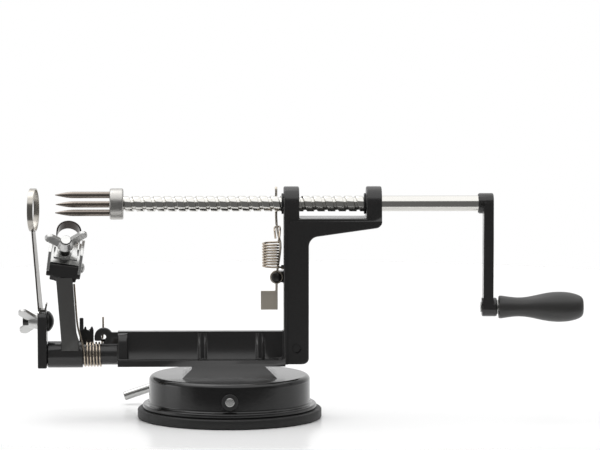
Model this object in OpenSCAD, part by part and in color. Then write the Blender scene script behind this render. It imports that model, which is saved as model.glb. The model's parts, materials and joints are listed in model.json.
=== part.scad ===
// Hand cranked apple peeler, corer and slicer on a suction foot.
// Sizes are in millimetres. The origin is the centre of the foot on the table,
// +X runs towards the crank, -Y towards the side the arm opens to, and +Z up.

/* [Base] */
// Width of the pad's rim outside the cap's flange
pad_rim = 3.1; // [1:0.1:8]
// Thickness of the rubber pad
pad_t = 6; // [5.5:0.1:8]
// Width of the cap's bottom flange
cap_rim = 3.9; // [3:0.1:8]
// Thickness of the cap's bottom flange
cap_flange_t = 3; // [2:0.1:4]
// Diameter of the cap
cap_d = 97.4; // [88:0.2:110]
// Height of the cap above the pad
cap_h = 20.2; // [19:0.1:24]
// Wall of the cap
cap_wall = 3; // [2:0.1:3.5]
// Radius of the cap's top edge
cap_edge_r = 3; // [1:0.1:4]
// Length of the casting's foot at its top
foot_top_l = 43; // [42:0.5:50]
// Length of the casting's foot on the cap
foot_low_l = 57; // [50:0.5:64]
// Depth of the casting's foot on the cap
foot_low_w = 41; // [30:0.5:50]
// Height of the casting's foot
foot_h = 6; // [4:0.1:12]

/* [Suction lever] */
// Diameter of the lever's rod
lever_d = 5.5; // [5:0.1:6]
// Depth of the lever's shaft below the cap's top
lever_drop = 10.5; // [10:0.1:11]
// Gap between the cap's flange and the lever's arm
lever_gap = 0.8; // [0.6:0.1:3]
// Reach of the lever from its shaft
lever_reach = 63.3; // [58:0.1:72]
// Length of the lever's straight part before its knee
lever_knee_l = 44; // [36:0.5:50]
// Slope of the lever's straight part, in degrees
lever_slope = 4.8; // [3:0.1:6]
// Bend at the lever's knee, in degrees
lever_knee = 14; // [5:0.5:15]
// Eccentricity of the lever's cam
cam_ecc = 1.4; // [1:0.05:1.5]
// Turn of the lever from free to locked, in degrees
cam_turn = 120; // [110:1:125]

/* [Frame casting] */
// Distance from the foot's centre to the upright's front face
upright_x = 32.7; // [30:0.1:45]
// Thickness of the upright along the spindle
upright_w = 15.1; // [13:0.1:20]
// Depth of the upright's body
body_depth = 23; // [22:0.1:26]
// Depth of the bearing posts
post_depth = 21; // [18:0.1:21.8]
// Thickness of the upright's front flange
flange_w = 2.7; // [2:0.1:4]
// Thickness of each bearing post
bearing_w = 9.4; // [8:0.1:12]
// Clear length between the bearing posts
yoke_gap = 40.3; // [34:0.1:46]
// Depth of the yoke's floor below the spindle axis
floor_drop = 8.2; // [7:0.1:10]
// Thickness of the yoke's floor plate
floor_t = 1.7; // [1.2:0.1:3]
// Depth of the arm under the rear post, below the floor
arm_tip_h = 5.4; // [4.8:0.1:8]
// Slope of the arm's underside, in degrees
arm_slope = 8; // [4:0.5:12]
// Fillet between the arm and the upright
arm_fillet = 6; // [3:0.1:10]
// Length of the beam between its collar and the upright
beam_l = 94.3; // [85:0.1:110]
// Height of the beam
beam_h = 20.4; // [19:0.1:26]
// Thickness of the beam's web
web_t = 6; // [4:0.1:8]
// Thickness of the beam's bottom flange
beam_flange_t = 3.7; // [3:0.1:5]
// Diameter of the beam's screw bosses
boss_d = 8.6; // [8:0.1:11]
// Distance between the beam's screw bosses
boss_gap = 34.9; // [33:0.1:37]
// Length of the beam's end collar
collar_l = 5.8; // [4:0.1:9]
// Width of the beam's end collar
collar_w = 17; // [15:0.1:19]
// Diameter of the pivot bar
bar_d = 12.7; // [11:0.1:14]
// Clear length of the pivot bar
bar_l = 42.7; // [42:0.1:50]
// Radius of the spring ear
ear_r = 5.6; // [5.4:0.1:6.4]
// Thickness of the spring ear
ear_t = 4; // [3:0.1:6]

/* [Front post and slicing blade] */
// Thickness of the front post
post_t = 5.5; // [5:0.1:8]
// Width of the front post
post_w = 19; // [18:0.1:24]
// Height of the slicer bolt above the pivot bar's axis
slicer_rise = 20.2; // [19:0.1:26]
// Height of the front post above the slicer bolt
post_top = 6.4; // [6:0.1:9]
// Thickness of the blade's strip
strap_t = 1; // [0.8:0.1:1.4]
// Width of the strip at the post
strap_low_w = 13.6; // [12.4:0.1:15]
// Width of the strip at the ring
strap_top_w = 9.5; // [6:0.1:12]
// Inner diameter of the coring ring
ring_d = 24.4; // [24.2:0.1:28]
// Wall of the coring ring
ring_t = 0.8; // [0.6:0.1:1.2]
// Length of the coring ring
ring_l = 3.5; // [3:0.1:6]
// Depth of the ring's centre below the spindle axis
ring_drop = 3.5; // [2:0.1:3.6]
// Lean of the blade from the post to the ring
ring_lean = 4; // [2:0.1:7]
// Turn of the blade about its strip, in degrees
blade_turn = -6.5; // [-12:0.5:-4]

/* [Fork] */
// Distance of the fork hub's rear face in front of the foot's centre
fork_x = 63.7; // [58:0.1:66]
// Diameter of the fork hub
hub_d = 18.9; // [18:0.1:21]
// Length of the fork hub
hub_l = 8.2; // [7:0.1:12]
// Diameter of a prong
prong_d = 4; // [3:0.1:4.2]
// Turn of the fork about the spindle, in degrees
fork_turn = -7; // [-60:1:60]
// Radius of the prongs' circle
prong_r = 6.2; // [5.8:0.1:6.4]
// Length of a prong in front of the hub
prong_l = 32.7; // [26:0.1:36]
// Length of a prong's tapered point
prong_point_l = 11.5; // [8:0.1:16]

/* [Feed screw] */
// Height of the spindle axis above the table
axis_z = 129.7; // [126:0.1:136]
// Diameter of the feed screw
rod_d = 9.5; // [9:0.1:10.4]
// Advance of the thread in one turn
pitch = 6.4; // [6:0.1:7.2]
// Depth of the thread's groove
groove_depth = 0.9; // [0.7:0.05:1.1]
// Width of the groove at the rod's surface
groove_w = 2.2; // [2.1:0.1:2.6]
// Width of the groove's floor
groove_floor_w = 1.5; // [1.4:0.1:1.8]
// Length of the threaded part
thread_l = 153.7; // [148:0.1:158]
// Length of the smooth part in front of the crank
smooth_l = 60.2; // [54:0.1:70]
// Wall of the bearing bushes
bush_wall = 0.9; // [0.7:0.05:1.4]
// Thickness of the bushes' flanges
bush_flange_t = 1.1; // [0.8:0.1:2]

/* [Feed lever] */
// Depth of the lever's pivot below the spindle axis
pivot_drop = 44.2; // [42:0.1:46]
// Distance of the lever's plane in front of the upright
lever_off = 4.3; // [3.9:0.1:4.6]
// Thickness of the lever's sheet
sheet_t = 1.4; // [1.2:0.05:1.5]
// Width of the lever's strip
strip_w = 4; // [3.4:0.1:4.6]
// Diameter of the lever's screw
pivot_d = 3.5; // [3:0.1:4]
// Width of the thumb tab
tab_w = 10.2; // [7:0.1:11]
// Height of the thumb tab
tab_h = 11.4; // [9:0.1:14]

/* [Springs] */
// Wire of the peeling arm's spring
peel_wire = 1.2; // [1:0.05:1.25]
// Axial step of the peeling arm's spring
peel_step = 1.85; // [1.7:0.05:1.9]
// Wire of the feed lever's spring
feed_wire = 1.2; // [1:0.05:1.3]
// Axial step of the feed lever's spring
feed_step = 1.65; // [1.6:0.05:1.8]
// Mean diameter of the feed lever's spring
feed_coil_d = 9.4; // [9:0.1:9.8]
// Turns of the feed lever's spring
feed_turns = 9; // [7:1:9]

/* [Peeling arm] */
// Wall of the arm's sleeve
sleeve_wall = 1.6; // [1.3:0.1:2.4]
// Length of the arm's sleeve
sleeve_l = 21.3; // [20:0.1:22]
// Width of the arm's web at its foot
web_low_w = 9.8; // [8:0.1:11]
// Width of the arm's web at its head
web_top_w = 9.7; // [9:0.1:13]
// Depth of the arm's web
web_depth = 7; // [5:0.1:8]
// Lean of the arm's head towards the crank, in degrees
head_lean = 7.5; // [0:0.5:9]
// Slope of the blade channel, in degrees
head_tilt = 40; // [34:1:46]
// Inner width of the blade channel
channel_w = 17.2; // [16.6:0.1:19]
// Sheet of the blade channel
channel_t = 1.2; // [1:0.1:1.5]
// Thickness of the channel's walls
wall_t = 1.8; // [1.2:0.1:2]
// Length of the blade channel
channel_l = 16; // [15:0.1:18]
// Outer diameter of the blade's arch
arch_d = 15; // [14.6:0.1:16]
// Thickness of the blade
arch_t = 0.9; // [0.7:0.1:1.2]
// Depth of the blade's arch
arch_depth = 7.4; // [5:0.1:7.8]
// Gap between the fork hub and the blade
blade_clear = 0.7; // [0.5:0.1:2]

/* [Fasteners] */
// Diameter of the wing nuts' bolts
bolt_d = 5; // [4:0.1:5.5]
// Diameter of the peeling blade's bolt
peel_bolt_d = 6; // [5:0.1:6.2]
// Diameter of a wing nut's hub
nut_d = 10; // [8.6:0.1:10.4]
// Thickness of a wing
wing_t = 2.2; // [1.6:0.1:3]
// Diameter of the base screws
base_screw_d = 4; // [3:0.1:4.6]
// Thickness of a plain washer
washer_t = 1; // [0.6:0.1:1.2]

/* [Crank and grip] */
// Distance between the spindle and grip axes
crank_r = 63; // [55:0.5:80]
// Thickness of the crank arm
crank_t = 6; // [5:0.1:8]
// Length of the crank's hub
crank_hub_l = 9.2; // [8:0.1:12]
// Diameter of the crank's hub
crank_hub_d = 12.4; // [12:0.1:15]
// Diameter of the crank's boss at the grip
crank_boss_d = 11.4; // [9:0.1:13]
// Length of the crank's boss at the grip
crank_boss_l = 9.2; // [8:0.1:12]
// Length of the grip
grip_l = 51.4; // [46:0.1:70]
// Diameter of the grip's collar
grip_collar_d = 13.9; // [12:0.1:16]
// Diameter of the grip's neck
grip_neck_d = 11.5; // [10:0.1:13]
// Largest diameter of the grip
grip_d = 18.4; // [16:0.1:24]
// Diameter of the grip at its end
grip_end_d = 13.7; // [11:0.1:15]
// Diameter of the grip's axle
axle_d = 5; // [4:0.1:6]

/* [Hidden] */
$fn = 64;

// Clearances
run_fit = 0.08;
slide_fit = 0.1;
loose_fit = 0.3;
rock_fit = 0.5;

// Colours
enamel = "#1b1b1d";
chrome = "#d9dadc";
steel = "#b4b2ae";
spring_steel = "#b9ad9a";
rubber = "#161616";
nylon = "#202022";
dark_steel = "#2c2b2b";

// Base diameters and heights
cap_flange_d = cap_d + 2 * cap_rim;
pad_d = cap_flange_d + 2 * pad_rim;
cap_top = pad_t + cap_h;
beam_z = cap_top + foot_h;
beam_top = beam_z + beam_h;
shaft_z = cap_top - lever_drop;
ceiling_t = cap_wall;

// Places along the spindle
collar_x1 = upright_x - beam_l;
collar_x0 = collar_x1 - collar_l;
bar_x0 = collar_x0 - bar_l;
post_x0 = bar_x0 - post_t;
body_x0 = upright_x + flange_w;
upright_x1 = upright_x + upright_w;
bearing_x1 = upright_x + bearing_w;
rear_x0 = bearing_x1 + yoke_gap;
rear_x1 = rear_x0 + bearing_w;
bar_z = beam_z + bar_d / 2;

// Bearings
rod_r = rod_d / 2;
bush_in_r = rod_r + slide_fit;
bush_r = bush_in_r + bush_wall;
bush_lip = 0.5;
bearing_r = bush_r + run_fit;

// Points on an arc, in degrees
function arc(x, y, r, a0, a1, n = 8) =
    [for (i = [0:n]) let (a = a0 + (a1 - a0) * i / n) [x + r * cos(a), y + r * sin(a)]];
// Smooth step from a to b
function ease(a, b, t) = a + (b - a) * (1 - cos(180 * t)) / 2;
function unit(v) = v / norm(v);

// Extrudes an outline drawn in Y and Z
module along_x(x0, x1) {
    translate([x0, 0, 0]) rotate([90, 0, 90]) linear_extrude(x1 - x0) children();
}

// Extrudes an outline drawn in X and Z
module along_y(y0, y1) {
    translate([0, y1, 0]) rotate([90, 0, 0]) linear_extrude(y1 - y0) children();
}

// Round bar along X on the axis y = 0, z
module bar_x(x0, x1, r, z = 0) {
    translate([x0, 0, z]) rotate([0, 90, 0]) cylinder(h = x1 - x0, r = r);
}

// Round bar along Y at x, z
module bar_y(y0, y1, r, x, z) {
    translate([x, y0, z]) rotate([-90, 0, 0]) cylinder(h = y1 - y0, r = r);
}

// Upright outline with a half-round top, in Y and Z
module post_outline(half, z0, z1) {
    translate([-half, z0]) square([2 * half, z1 - z0]);
    translate([0, z1]) circle(half);
}

// Unbroken round wire through a list of points
wire_sides = 6;
function tangent(p, i) = unit(p[min(i + 1, len(p) - 1)] - p[max(i - 1, 0)]);
function side_vectors(p) =
    let (t0 = tangent(p, 0), s = abs(t0.z) < 0.9 ? [0, 0, 1] : [1, 0, 0])
    [for (i = 0, n = unit(cross(t0, s)); i < len(p);
          i = i + 1, n = i < len(p) ? unit(n - (n * tangent(p, i)) * tangent(p, i)) : n) n];
function least_gap(p, d) =
    min([for (i = [0:len(p) - 4], j = [i + 3:len(p) - 1]) norm(p[i] - p[j])]) - d;
module wire(p, d) {
    n = side_vectors(p);
    s = wire_sides;
    rings = [for (i = [0:len(p) - 1], k = [0:s - 1])
        let (b = cross(tangent(p, i), n[i]))
        p[i] + d / 2 * (cos(360 * k / s) * n[i] + sin(360 * k / s) * b)];
    last = (len(p) - 1) * s;
    side_faces = [for (i = [0:len(p) - 2], k = [0:s - 1], h = [0, 1])
        let (a = i * s + k, b = i * s + (k + 1) % s)
        h == 0 ? [a, a + s, b + s] : [a, b + s, b]];
    first_cap = [for (k = [1:s - 2]) [0, k, k + 1]];
    last_cap = [for (k = [1:s - 2]) [last, last + k + 1, last + k]];
    polyhedron(concat(rings), concat(side_faces, first_cap, last_cap), convexity = 10);
}

// Frame casting: upright and arm, seen from the front
body_bottom = beam_z + 1.3;
body_corner_r = 3.5;
body_top_r = 2.5;
arm_tip_r = 4;
floor_z = axis_z - floor_drop;
body_top = floor_z - floor_t;
arm_tip_z = floor_z - arm_tip_h;
arm_low_z = arm_tip_z - tan(arm_slope) * (rear_x1 - upright_x1);
function arm_under(x) = arm_low_z + tan(arm_slope) * (x - upright_x1);
module body_outline() {
    fillet_z = arm_under(upright_x1 + arm_fillet) - arm_fillet / cos(arm_slope);
    tip_x = rear_x1 - arm_tip_r;
    tip_z = arm_under(tip_x) + arm_tip_r / cos(arm_slope);
    polygon(concat(
        [[body_x0, body_bottom]],
        arc(upright_x1 - body_corner_r, body_bottom + body_corner_r, body_corner_r, -90, 0),
        arc(upright_x1 + arm_fillet, fillet_z, arm_fillet, 180, 90 + arm_slope),
        arc(tip_x, tip_z, arm_tip_r, arm_slope - 90, 0),
        [[rear_x1, body_top]],
        arc(body_x0 + body_top_r, body_top - body_top_r, body_top_r, 90, 180)
    ));
}

// Foot of the casting, which spreads on all four sides
module foot() {
    low = [foot_low_l, foot_low_w] / 2;
    high = [foot_top_l, body_depth] / 2;
    top = beam_z + beam_flange_t / 2;
    corners = [[-1, -1], [1, -1], [1, 1], [-1, 1]];
    rings = [for (r = [[low, cap_top], [high, beam_z], [high, top]], c = corners)
        [c.x * r[0].x, c.y * r[0].y, r[1]]];
    sides = [for (k = [0, 4], i = [0:3]) [k + i, k + i + 4, k + (i + 1) % 4 + 4, k + (i + 1) % 4]];
    polyhedron(rings, concat([[0, 1, 2, 3], [11, 10, 9, 8]], sides));
}

// Ear that holds a leg of the arm's spring, seen from the front
ear_x = collar_x0 - ear_r - 3;
ear_z = bar_z + bar_d / 2 + ear_r / 2 + 1.5;
ear_hole_r = 1.45;
module ear_outline() {
    translate([ear_x, ear_z]) circle(ear_r);
    translate([ear_x - ear_r, bar_z]) square([2 * ear_r, ear_z - bar_z]);
    translate([ear_x, bar_z]) square([collar_x1 - ear_x, ear_z + ear_r / 2 - bar_z]);
}

// Room under the ear for the arm's spring
curl_rings = 16;
peel_turns = 5.5;
peel_coil_r = (bar_d / 2 + 0.15 + peel_wire / 2) / cos(180 / curl_rings);
sleeve_x0 = bar_x0 + loose_fit;
sleeve_x1 = sleeve_x0 + sleeve_l;
peel_x0 = sleeve_x1 + 0.4 + peel_wire / 2;
peel_end_x = peel_x0 + peel_step * peel_turns;
coil_room_r = peel_coil_r + peel_wire / 2 + rock_fit;
coil_end_x = peel_end_x + peel_wire / 2 + rock_fit;

// Lug that carries the feed lever
plane_x = upright_x - lever_off;
pivot_z = axis_z - pivot_drop;
pivot_y = -3.25;
lug_r = pivot_d / 2 + 1.6;
lug_y0 = pivot_y + sheet_t / 2 + rock_fit;
lug_y1 = lug_y0 + 8;
module lug() {
    bar_y(lug_y0, lug_y1, lug_r, plane_x, pivot_z);
    translate([plane_x, lug_y0, pivot_z - lug_r]) cube([lever_off + 1, lug_y1 - lug_y0, 2 * lug_r]);
}

// Peg on the upright for the lower hook of the feed lever's spring
peg_z = pivot_z + lug_r + 3.2;
peg_y = -6;
peg_l = 1.5;
peg_r = 1.2;

boss_mid_x = 1.05;
boss_x = [boss_mid_x - boss_gap / 2, boss_mid_x + boss_gap / 2];
boss_top = beam_top - 0.8;
screw_deep = beam_h - 6;
mark_r = 3;
mark_deep = 0.6;
mark_w = 0.8;
mark_z = body_bottom + 9.7;
panel_r = 3;
post_screw_d = 4;
post_screw_deep = 12;
module frame_casting() {
    half = body_depth / 2;
    post_half = post_depth / 2;
    mark_x = (body_x0 + upright_x1) / 2 - 1.3;
    color(enamel) difference() {
        union() {
            along_y(-half, half) body_outline();
            along_x(upright_x, body_x0 + 0.5) post_outline(post_half, body_bottom, axis_z);
            along_x(upright_x, bearing_x1) post_outline(post_half, body_top - 1, axis_z);
            along_x(rear_x0, rear_x1) post_outline(post_half, body_top - 1, axis_z);
            translate([body_x0, -post_half, body_top - 1])
                cube([rear_x1 - body_x0, post_depth, floor_t + 1]);
            translate([collar_x0, -web_t / 2, beam_z])
                cube([body_x0 - collar_x0, web_t, beam_h]);
            translate([collar_x0, -half, beam_z])
                cube([upright_x - collar_x0 + 1, body_depth, beam_flange_t]);
            along_y(-post_half, post_half) difference() {
                translate([upright_x - panel_r, beam_z + beam_flange_t - 0.5])
                    square([panel_r + 1, panel_r + 0.5]);
                translate([upright_x - panel_r, beam_z + beam_flange_t + panel_r]) circle(panel_r);
            }
            for (x = boss_x)
                translate([x, 0, beam_z]) cylinder(h = boss_top - beam_z, d = boss_d);
            along_x(collar_x0, collar_x1)
                post_outline(collar_w / 2, beam_z, beam_top - collar_w / 2);
            bar_x(bar_x0, collar_x0 + 1, bar_d / 2, bar_z);
            difference() {
                along_y(-ear_t / 2, ear_t / 2) ear_outline();
                bar_x(ear_x - ear_r - 1, coil_end_x, coil_room_r, bar_z);
            }
            foot();
            lug();
            translate([upright_x - peg_l, peg_y, peg_z]) rotate([0, 90, 0])
                cylinder(h = peg_l + 1, r = peg_r);
        }
        bar_x(upright_x - 1, rear_x1 + 1, bearing_r, axis_z);
        for (x = boss_x)
            translate([x, 0, cap_top - 1])
                cylinder(h = beam_z - cap_top + screw_deep + 1, d = base_screw_d);
        bar_x(bar_x0 - 1, bar_x0 + post_screw_deep, post_screw_d / 2, bar_z);
        bar_y(-ear_t, ear_t, ear_hole_r, ear_x, ear_z);
        bar_y(lug_y0 - 1, lug_y1 + 1, pivot_d / 2, plane_x, pivot_z);
        difference() {
            bar_y(-half - 1, -half + mark_deep, mark_r, mark_x, mark_z);
            bar_y(-half - 2, half, mark_r - mark_w, mark_x, mark_z);
        }
    }
}

// Front post with the recess that keeps the slicing blade from turning
slicer_z = bar_z + slicer_rise;
post_bottom = bar_z - bar_d / 2 - 1.2;
post_z1 = slicer_z + post_top;
post_corner_r = 5;
recess_deep = strap_t + washer_t;
recess_low = 7;
screw_head_d = 8;
screw_head_l = 2.4;
bolt_r = bolt_d / 2;
module post_shape() {
    half = post_w / 2;
    c = half - post_corner_r;
    translate([-half, post_bottom]) square([post_w, post_z1 - post_corner_r - post_bottom]);
    translate([-c, post_z1 - post_corner_r - 1]) square([2 * c, post_corner_r + 1]);
    for (s = [-1, 1]) translate([s * c, post_z1 - post_corner_r]) circle(post_corner_r);
}
module front_post() {
    slot = strap_low_w + 2 * loose_fit;
    color(enamel) difference() {
        along_x(post_x0, bar_x0) post_shape();
        translate([post_x0 - 1, -slot / 2, slicer_z - recess_low])
            cube([recess_deep + 1, slot, post_top + recess_low + 1]);
        bar_x(post_x0 - 1, bar_x0 + 1, bolt_r, slicer_z);
        bar_x(post_x0 - 1, bar_x0 + 1, post_screw_d / 2, bar_z);
        bar_x(post_x0 - 1, post_x0 + screw_head_l, screw_head_d / 2, bar_z);
    }
}

// Screw that holds the post on the pivot bar
module post_screw() {
    drive_w = 1;
    drive_deep = 1;
    color(dark_steel) difference() {
        union() {
            bar_x(post_x0 + 0.3, post_x0 + screw_head_l, screw_head_d / 2, bar_z);
            bar_x(post_x0 + 1, bar_x0 + post_screw_deep, post_screw_d / 2, bar_z);
        }
        translate([post_x0, -screw_head_d, bar_z - drive_w / 2])
            cube([drive_deep, 2 * screw_head_d, drive_w]);
    }
}

// Slicing blade: flat tab, tapering strip and coring ring
tab_x1 = post_x0 + recess_deep;
tab_mid_x = tab_x1 - strap_t / 2;
ring_z = axis_z - ring_drop;
ring_r = ring_d / 2;
ring_x = tab_mid_x - ring_lean;
strap_z0 = post_z1 + loose_fit;
lip_w = 8;
lip_rise = 4.6;
module slicing_blade() {
    strap_z1 = ring_z - ring_r - ring_t / 2;
    rise = strap_z1 - strap_z0;
    lean = atan(ring_lean / rise);
    run = rise / cos(lean);
    tab_low = slicer_z - recess_low + loose_fit;
    lip_x1 = bar_x0 - 0.5;
    lip_z0 = post_z1 + loose_fit / 3;
    color(steel) difference() {
        union() {
            translate([tab_x1 - strap_t, -strap_low_w / 2, tab_low])
                cube([strap_t, strap_low_w, strap_z0 + 1.5 - tab_low]);
            translate([tab_x1 - strap_t, -lip_w / 2, lip_z0])
                cube([lip_x1 - tab_x1 + strap_t, lip_w, strap_t]);
            translate([lip_x1 - strap_t, -lip_w / 2, lip_z0]) rotate([0, 10, 0])
                cube([strap_t, lip_w, lip_rise]);
            translate([tab_mid_x, 0, 0]) rotate([0, 0, blade_turn]) translate([-tab_mid_x, 0, 0]) {
                translate([tab_mid_x, 0, strap_z0]) rotate([0, -lean, 0])
                    along_x(-strap_t / 2, strap_t / 2) polygon([
                        [-strap_low_w / 2, 0], [strap_low_w / 2, 0],
                        [strap_top_w / 2, run], [-strap_top_w / 2, run]
                    ]);
                translate([0, 0, ring_z]) difference() {
                    bar_x(ring_x - ring_l / 2, ring_x + ring_l / 2, ring_r + ring_t);
                    bar_x(ring_x - ring_l, ring_x + ring_l, ring_r);
                }
            }
        }
        bar_x(tab_x1 - strap_t - 1, tab_x1 + 1, bolt_r, slicer_z);
    }
}

// Round bolt head, in radius and height
module dome(r, h, edge) {
    ball = (r * r + h * h) / (2 * h);
    rim = asin((ball - h) / ball);
    rotate_extrude() polygon(concat(
        [[0, 0], [r, 0]], arc(0, edge + h - ball, ball, rim, 90, 6)
    ));
}

nut_seat_x = post_x0;
slicer_nut_h = 11.6;
module slicer_bolt() {
    color(dark_steel) {
        translate([bar_x0, 0, slicer_z]) rotate([0, 90, 0]) dome(6.2, 3, 1.2);
        bar_x(nut_seat_x - slicer_nut_h + 2.4, bar_x0 + 0.5, bolt_r, slicer_z);
    }
}

module slicer_washer() {
    color(chrome) difference() {
        bar_x(post_x0, post_x0 + washer_t, strap_low_w / 2 - 0.6, slicer_z);
        bar_x(post_x0 - 1, post_x0 + washer_t + 1, bolt_r, slicer_z);
    }
}

// Wing nut on +Z with its seat at z = 0 and its wings along X, of height h and reach wing_reach
slicer_wing = 11.9;
peel_wing = 12.8;
wing_slope = 37;
wing_end_r = 3;
module wing_nut(h, wing_reach, bore_r) {
    hub_h = 5.6;
    root = [2.8, hub_h - 2.6];
    tip = [wing_reach - wing_end_r, h - wing_end_r];
    slope = atan2(tip.y - root.y, tip.x - root.x);
    length = norm(tip - root);
    difference() {
        union() {
            cylinder(h = hub_h, d1 = nut_d, d2 = nut_d - 2.6);
            for (s = [0, 180]) rotate([0, 0, s]) along_y(-wing_t / 2, wing_t / 2) {
                translate(root) rotate(slope) translate([0, -wing_end_r])
                    square([length, 2 * wing_end_r]);
                translate(tip) circle(wing_end_r);
            }
        }
        translate([0, 0, -1]) cylinder(h = h + 2, r = bore_r);
        translate([-wing_reach, -wing_t, -3]) cube([2 * wing_reach, 2 * wing_t, 3]);
    }
}

slicer_nut_turn = 49;
module slicer_wing_nut() {
    color(chrome) translate([nut_seat_x, 0, slicer_z]) rotate([slicer_nut_turn, 0, 0])
        rotate([0, -90, 0]) wing_nut(slicer_nut_h, slicer_wing, bolt_r + run_fit);
}

// Peeling arm: the head's own axes are X, v up its slope and w out of it
sleeve_in_r = bar_d / 2 + slide_fit;
sleeve_r = sleeve_in_r + sleeve_wall;
head_x = sleeve_x0 + 9.3;
head_y = 2;
arch_v = 6.2;
arch_top = (arch_v + arch_d / 2) * cos(head_tilt) + arch_depth * sin(head_tilt);
head_z = axis_z - hub_d / 2 - blade_clear - arch_top;
channel_top = 3;
channel_low = channel_top - channel_l;
wall_depth = 5;
peel_bolt_r = peel_bolt_d / 2;
bolt_u = -0.9;
bolt_v = -4.7;
function head_point(v, w) = [
    head_y + v * sin(head_tilt) - w * cos(head_tilt),
    head_z + v * cos(head_tilt) + w * sin(head_tilt)
];
module leaning() {
    translate([head_x, 0, block_z]) rotate([0, head_lean, 0]) translate([-head_x, 0, -block_z]) children();
}
module on_head() {
    leaning() translate([head_x, head_y, head_z]) rotate([90 - head_tilt, 0, 0]) children();
}

block_top = head_point(channel_low, -channel_t).y;
block_z = block_top - 9.8;
shoulder_z = block_z + 2.4;
shoulder_t = 3;
block_front = head_y - 10;
block_back = head_y + 5.5;
block_half = channel_w / 2 - loose_fit / 3;
wedge_v = -11.5;
screw_y = head_y + 1;
screw_z = block_top - 1.6;
side_screw_l = 8;
stop_y = peel_coil_r + peel_wire / 2 + 1.2;
stop_t = 3;
stop_x0 = sleeve_x1 - 2.5;
stop_x1 = stop_x0 + 8.6;
stop_z = bar_z + 13.5;
stop_tooth = 2;
stop_peg_r = 1.25;
module spring_stop() {
    along_y(stop_y, stop_y + stop_t) polygon([
        [stop_x0, bar_z - 3], [stop_x1, bar_z - 3], [stop_x1, stop_z], [stop_x1 - 0.6, stop_z + stop_tooth],
        [stop_x1 - 1.6, stop_z + stop_tooth], [stop_x1 - 2.6, stop_z], [stop_x1 - 4, stop_z],
        [stop_x1 - 4.6, stop_z + stop_tooth], [stop_x1 - 5.4, stop_z + stop_tooth],
        [stop_x1 - 6.2, stop_z], [stop_x0, stop_z]
    ]);
    translate([stop_x0 - 3, sleeve_r / 2, bar_z - 3])
        cube([sleeve_x1 - stop_x0 + 3, stop_y + stop_t - sleeve_r / 2, 6]);
    translate([stop_x0 + stop_peg_r, stop_y + stop_t / 2, stop_z - 1])
        cylinder(h = 8.5, r = stop_peg_r);
}
web_flare = 0.6;
web_low_x = sleeve_x0 + 8.5;
web_top_x = head_x - 3.8;
web_top_z = block_z + 2;
function web_edge(z) = let (t = (z - bar_z - 14) / (web_top_z - bar_z - 14))
    web_low_x + web_low_w - 0.9 + (web_top_x + web_top_w - web_low_x - web_low_w + 0.9) * t;
module peel_arm() {
    web_y0 = -sleeve_r;
    wedge_top = head_point(wedge_v, -channel_t);
    color(enamel) difference() {
        union() {
            bar_x(sleeve_x0, sleeve_x1, sleeve_r, bar_z);
            spring_stop();
            along_y(web_y0, web_y0 + web_depth) polygon([
                [web_low_x, bar_z + 3], [web_low_x + web_low_w + web_flare, bar_z + 3],
                [web_low_x + web_low_w + web_flare, bar_z + 6], [web_edge(bar_z + 14), bar_z + 14],
                [web_edge(web_top_z), web_top_z], [web_top_x, web_top_z], [web_low_x, bar_z + 8]
            ]);
            leaning() {
                along_x(head_x - block_half, head_x + block_half) polygon([
                    [block_front, shoulder_z], [block_back, shoulder_z], [block_back, wedge_top.y],
                    wedge_top, head_point(channel_low, -channel_t), [block_front, block_top]
                ]);
                translate([head_x - block_half - wall_t, block_front, shoulder_z])
                    cube([2 * (block_half + wall_t), block_back - block_front, shoulder_t]);
                translate([head_x - block_half + 0.6, block_front + 1, block_z])
                    cube([2 * block_half - 1.2, block_back - block_front - 2, shoulder_z - block_z + 1]);
            }
        }
        bar_x(sleeve_x0 - 1, sleeve_x1 + 1, sleeve_in_r, bar_z);
        screw_bore();
    }
}

// Bore for the screw that holds the channel on the arm's head, from the right
module screw_bore() {
    face_x = head_x + channel_w / 2;
    leaning() translate([0, screw_y, 0]) bar_x(face_x - side_screw_l, face_x + wall_t + 1, pivot_d / 2, screw_z);
}

// Blade holder: a channel of bright sheet astride the arm's head
module blade_holder() {
    wall_low = shoulder_z + shoulder_t;
    half = channel_w / 2;
    color(chrome) difference() {
        union() {
            on_head() translate([-half - wall_t, channel_low, -channel_t])
                cube([channel_w + 2 * wall_t, channel_l, channel_t]);
            leaning() for (x = [head_x - half - wall_t, head_x + half])
                along_x(x, x + wall_t) polygon([
                    [block_front, wall_low], [block_back - 1, wall_low],
                    head_point(channel_top, -channel_t), head_point(channel_top, wall_depth - 1),
                    head_point(channel_low + 4, wall_depth)
                ]);
        }
        screw_bore();
        on_head() translate([bolt_u, bolt_v, -5]) cylinder(h = 10, r = peel_bolt_r);
    }
}

module holder_screw() {
    face_x = head_x + channel_w / 2;
    color(dark_steel) leaning() translate([0, screw_y, 0]) {
        translate([face_x + wall_t, 0, screw_z]) rotate([0, 90, 0]) dome(3, 1.2, 0.6);
        bar_x(face_x - side_screw_l, face_x + wall_t + 0.3, pivot_d / 2, screw_z);
    }
}

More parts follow.
